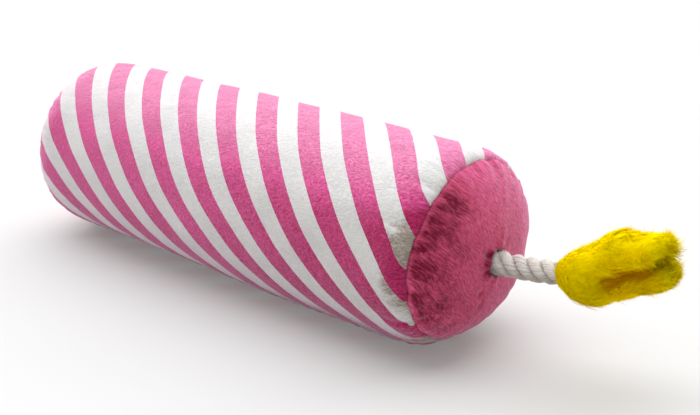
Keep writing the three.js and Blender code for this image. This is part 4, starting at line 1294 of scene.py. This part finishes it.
def inside_flame(gap):
    def fit(p):
        q = (p - NECK) @ FLAME.T
        x = np.clip(q[:, 0], 1.4, CORE_END - 1.6)
        a = np.arctan2(q[:, 2] - F_C, -q[:, 1])
        edge = flame_point(x, a, 1.8 + gap)
        most = np.hypot(edge[:, 1], edge[:, 2] - F_C) * 0.97
        r = np.hypot(q[:, 1], q[:, 2] - F_C)
        f = np.minimum(1.0, most / np.maximum(r, 1e-6))
        z = F_C + (q[:, 2] - F_C) * f
        q = np.stack([x - notch(x, z), q[:, 1] * f, z], -1)
        return NECK + q @ FLAME

    return fit


fitted("body_filling", "body_stuffing", inside_body, "body", filling_mat)
fitted("front_seam_thread", "front_seam_stitches", in_front_ring, "body", thread_pink)
fitted("rear_seam_thread", "rear_seam_stitches", in_rear_ring, "body", thread_pink)
fitted("flame_filling", "flame_stuffing", inside_flame(1.6), "flame", filling_mat)
fitted("flame_seam_thread", "flame_seam_stitches", inside_flame(0.5), "flame", thread_yellow)
fitted("flame_neck_thread", "flame_neck_stitches", inside_flame(0.3), "flame", thread_yellow)

# small stitches that hold the wick to the cloth round the hole
tack_parts = []
for k in range(10):
    a0 = 2 * math.pi * (k + 0.3 * math.sin(k * 2.3)) / 10
    u = np.linspace(0, 1, 12)
    rr = 4.2 + 1.6 * u
    xx = 9.6 + 1.5 * np.sin(u * math.pi)
    tack_parts.append((tube(np.stack([xx, -rr * math.cos(a0), rr * math.sin(a0)], -1), 0.22, 6), 0.0))
tc, tf, tuv = tube_mesh(tack_parts)
tack = make_mesh("wick_tack_stitches", tc, tf, [thread_pink])
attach(tack, "body")
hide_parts("wick_tack_thread")

# ------------------------------------------------------------------ the parts that stay as they are
for node, mat in {
    "sleeve_seam_thread_front": thread_white,
    "sleeve_seam_thread_rear": thread_white,
    "closing_thread": thread_white,
    "wick_whipping": thread_white,
    "squeaker_bulb": bulb_mat,
    "squeaker_reed_holder": holder_mat,
    "squeaker_reed": reed_mat,
}.items():
    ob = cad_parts[node]
    ob.data.materials.clear()
    ob.data.materials.append(mat)

# ------------------------------------------------------------------ floor, light, world
floor_mat, ftree, fp = material("floor")
fnet = Net(ftree)
ftc = ftree.nodes.new("ShaderNodeTexCoord")
fn = fnet.noise(ftc.outputs["Object"], 3.0, 3.0, 0.5)
fv = fnet.ramp(fn, 0.3, 0.7, 0.485, 0.505)
fnet.put(fp.inputs["Base Color"], fnet.join(fv, fv, fv))
# painted light: the floor itself glows a little, which lightens the shadow
fp.inputs["Emission Color"].default_value = rgb(1.0, 0.995, 0.99)
fp.inputs["Emission Strength"].default_value = 0.165
fp.inputs["Roughness"].default_value = 0.9
fp.inputs["Specular IOR Level"].default_value = 0.1
me = bpy.data.meshes.new("floor")
me.from_pydata([(-8, -8, 0), (8, -8, 0), (8, 8, 0), (-8, 8, 0)], [], [(0, 1, 2, 3)])
me.materials.append(floor_mat)
floor = bpy.data.objects.new("floor", me)
bpy.context.scene.collection.objects.link(floor)

world = bpy.data.worlds.new("world")
world.use_nodes = True
bg = world.node_tree.nodes["Background"]
bg.inputs[0].default_value = rgb(1.0, 1.0, 1.0)
bg.inputs[1].default_value = 0.43
# past the floor's edge the camera sees white paper, which doesn't change the light
wt = world.node_tree
paper = wt.nodes.new("ShaderNodeBackground")
paper.inputs[0].default_value = rgb(1.0, 1.0, 1.0)
paper.inputs[1].default_value = 1.0
ray = wt.nodes.new("ShaderNodeLightPath")
either = wt.nodes.new("ShaderNodeMixShader")
wt.links.new(ray.outputs["Is Camera Ray"], either.inputs[0])
wt.links.new(bg.outputs[0], either.inputs[1])
wt.links.new(paper.outputs[0], either.inputs[2])
wt.links.new(either.outputs[0], wt.nodes["World Output"].inputs[0])
bpy.context.scene.world = world


sun_data = bpy.data.lights.new("key", "SUN")
sun_data.energy = 5.15
sun_data.angle = math.radians(98)
sun = bpy.data.objects.new("key", sun_data)
bpy.context.scene.collection.objects.link(sun)
sun.rotation_euler = Vector((-0.52, 0.41, 0.81)).to_track_quat("Z", "Y").to_euler()

sc = bpy.context.scene
sc.view_settings.view_transform = "Standard"
sc.view_settings.look = "None"
sc.view_settings.exposure = 0.0
sc.view_settings.gamma = 1.0
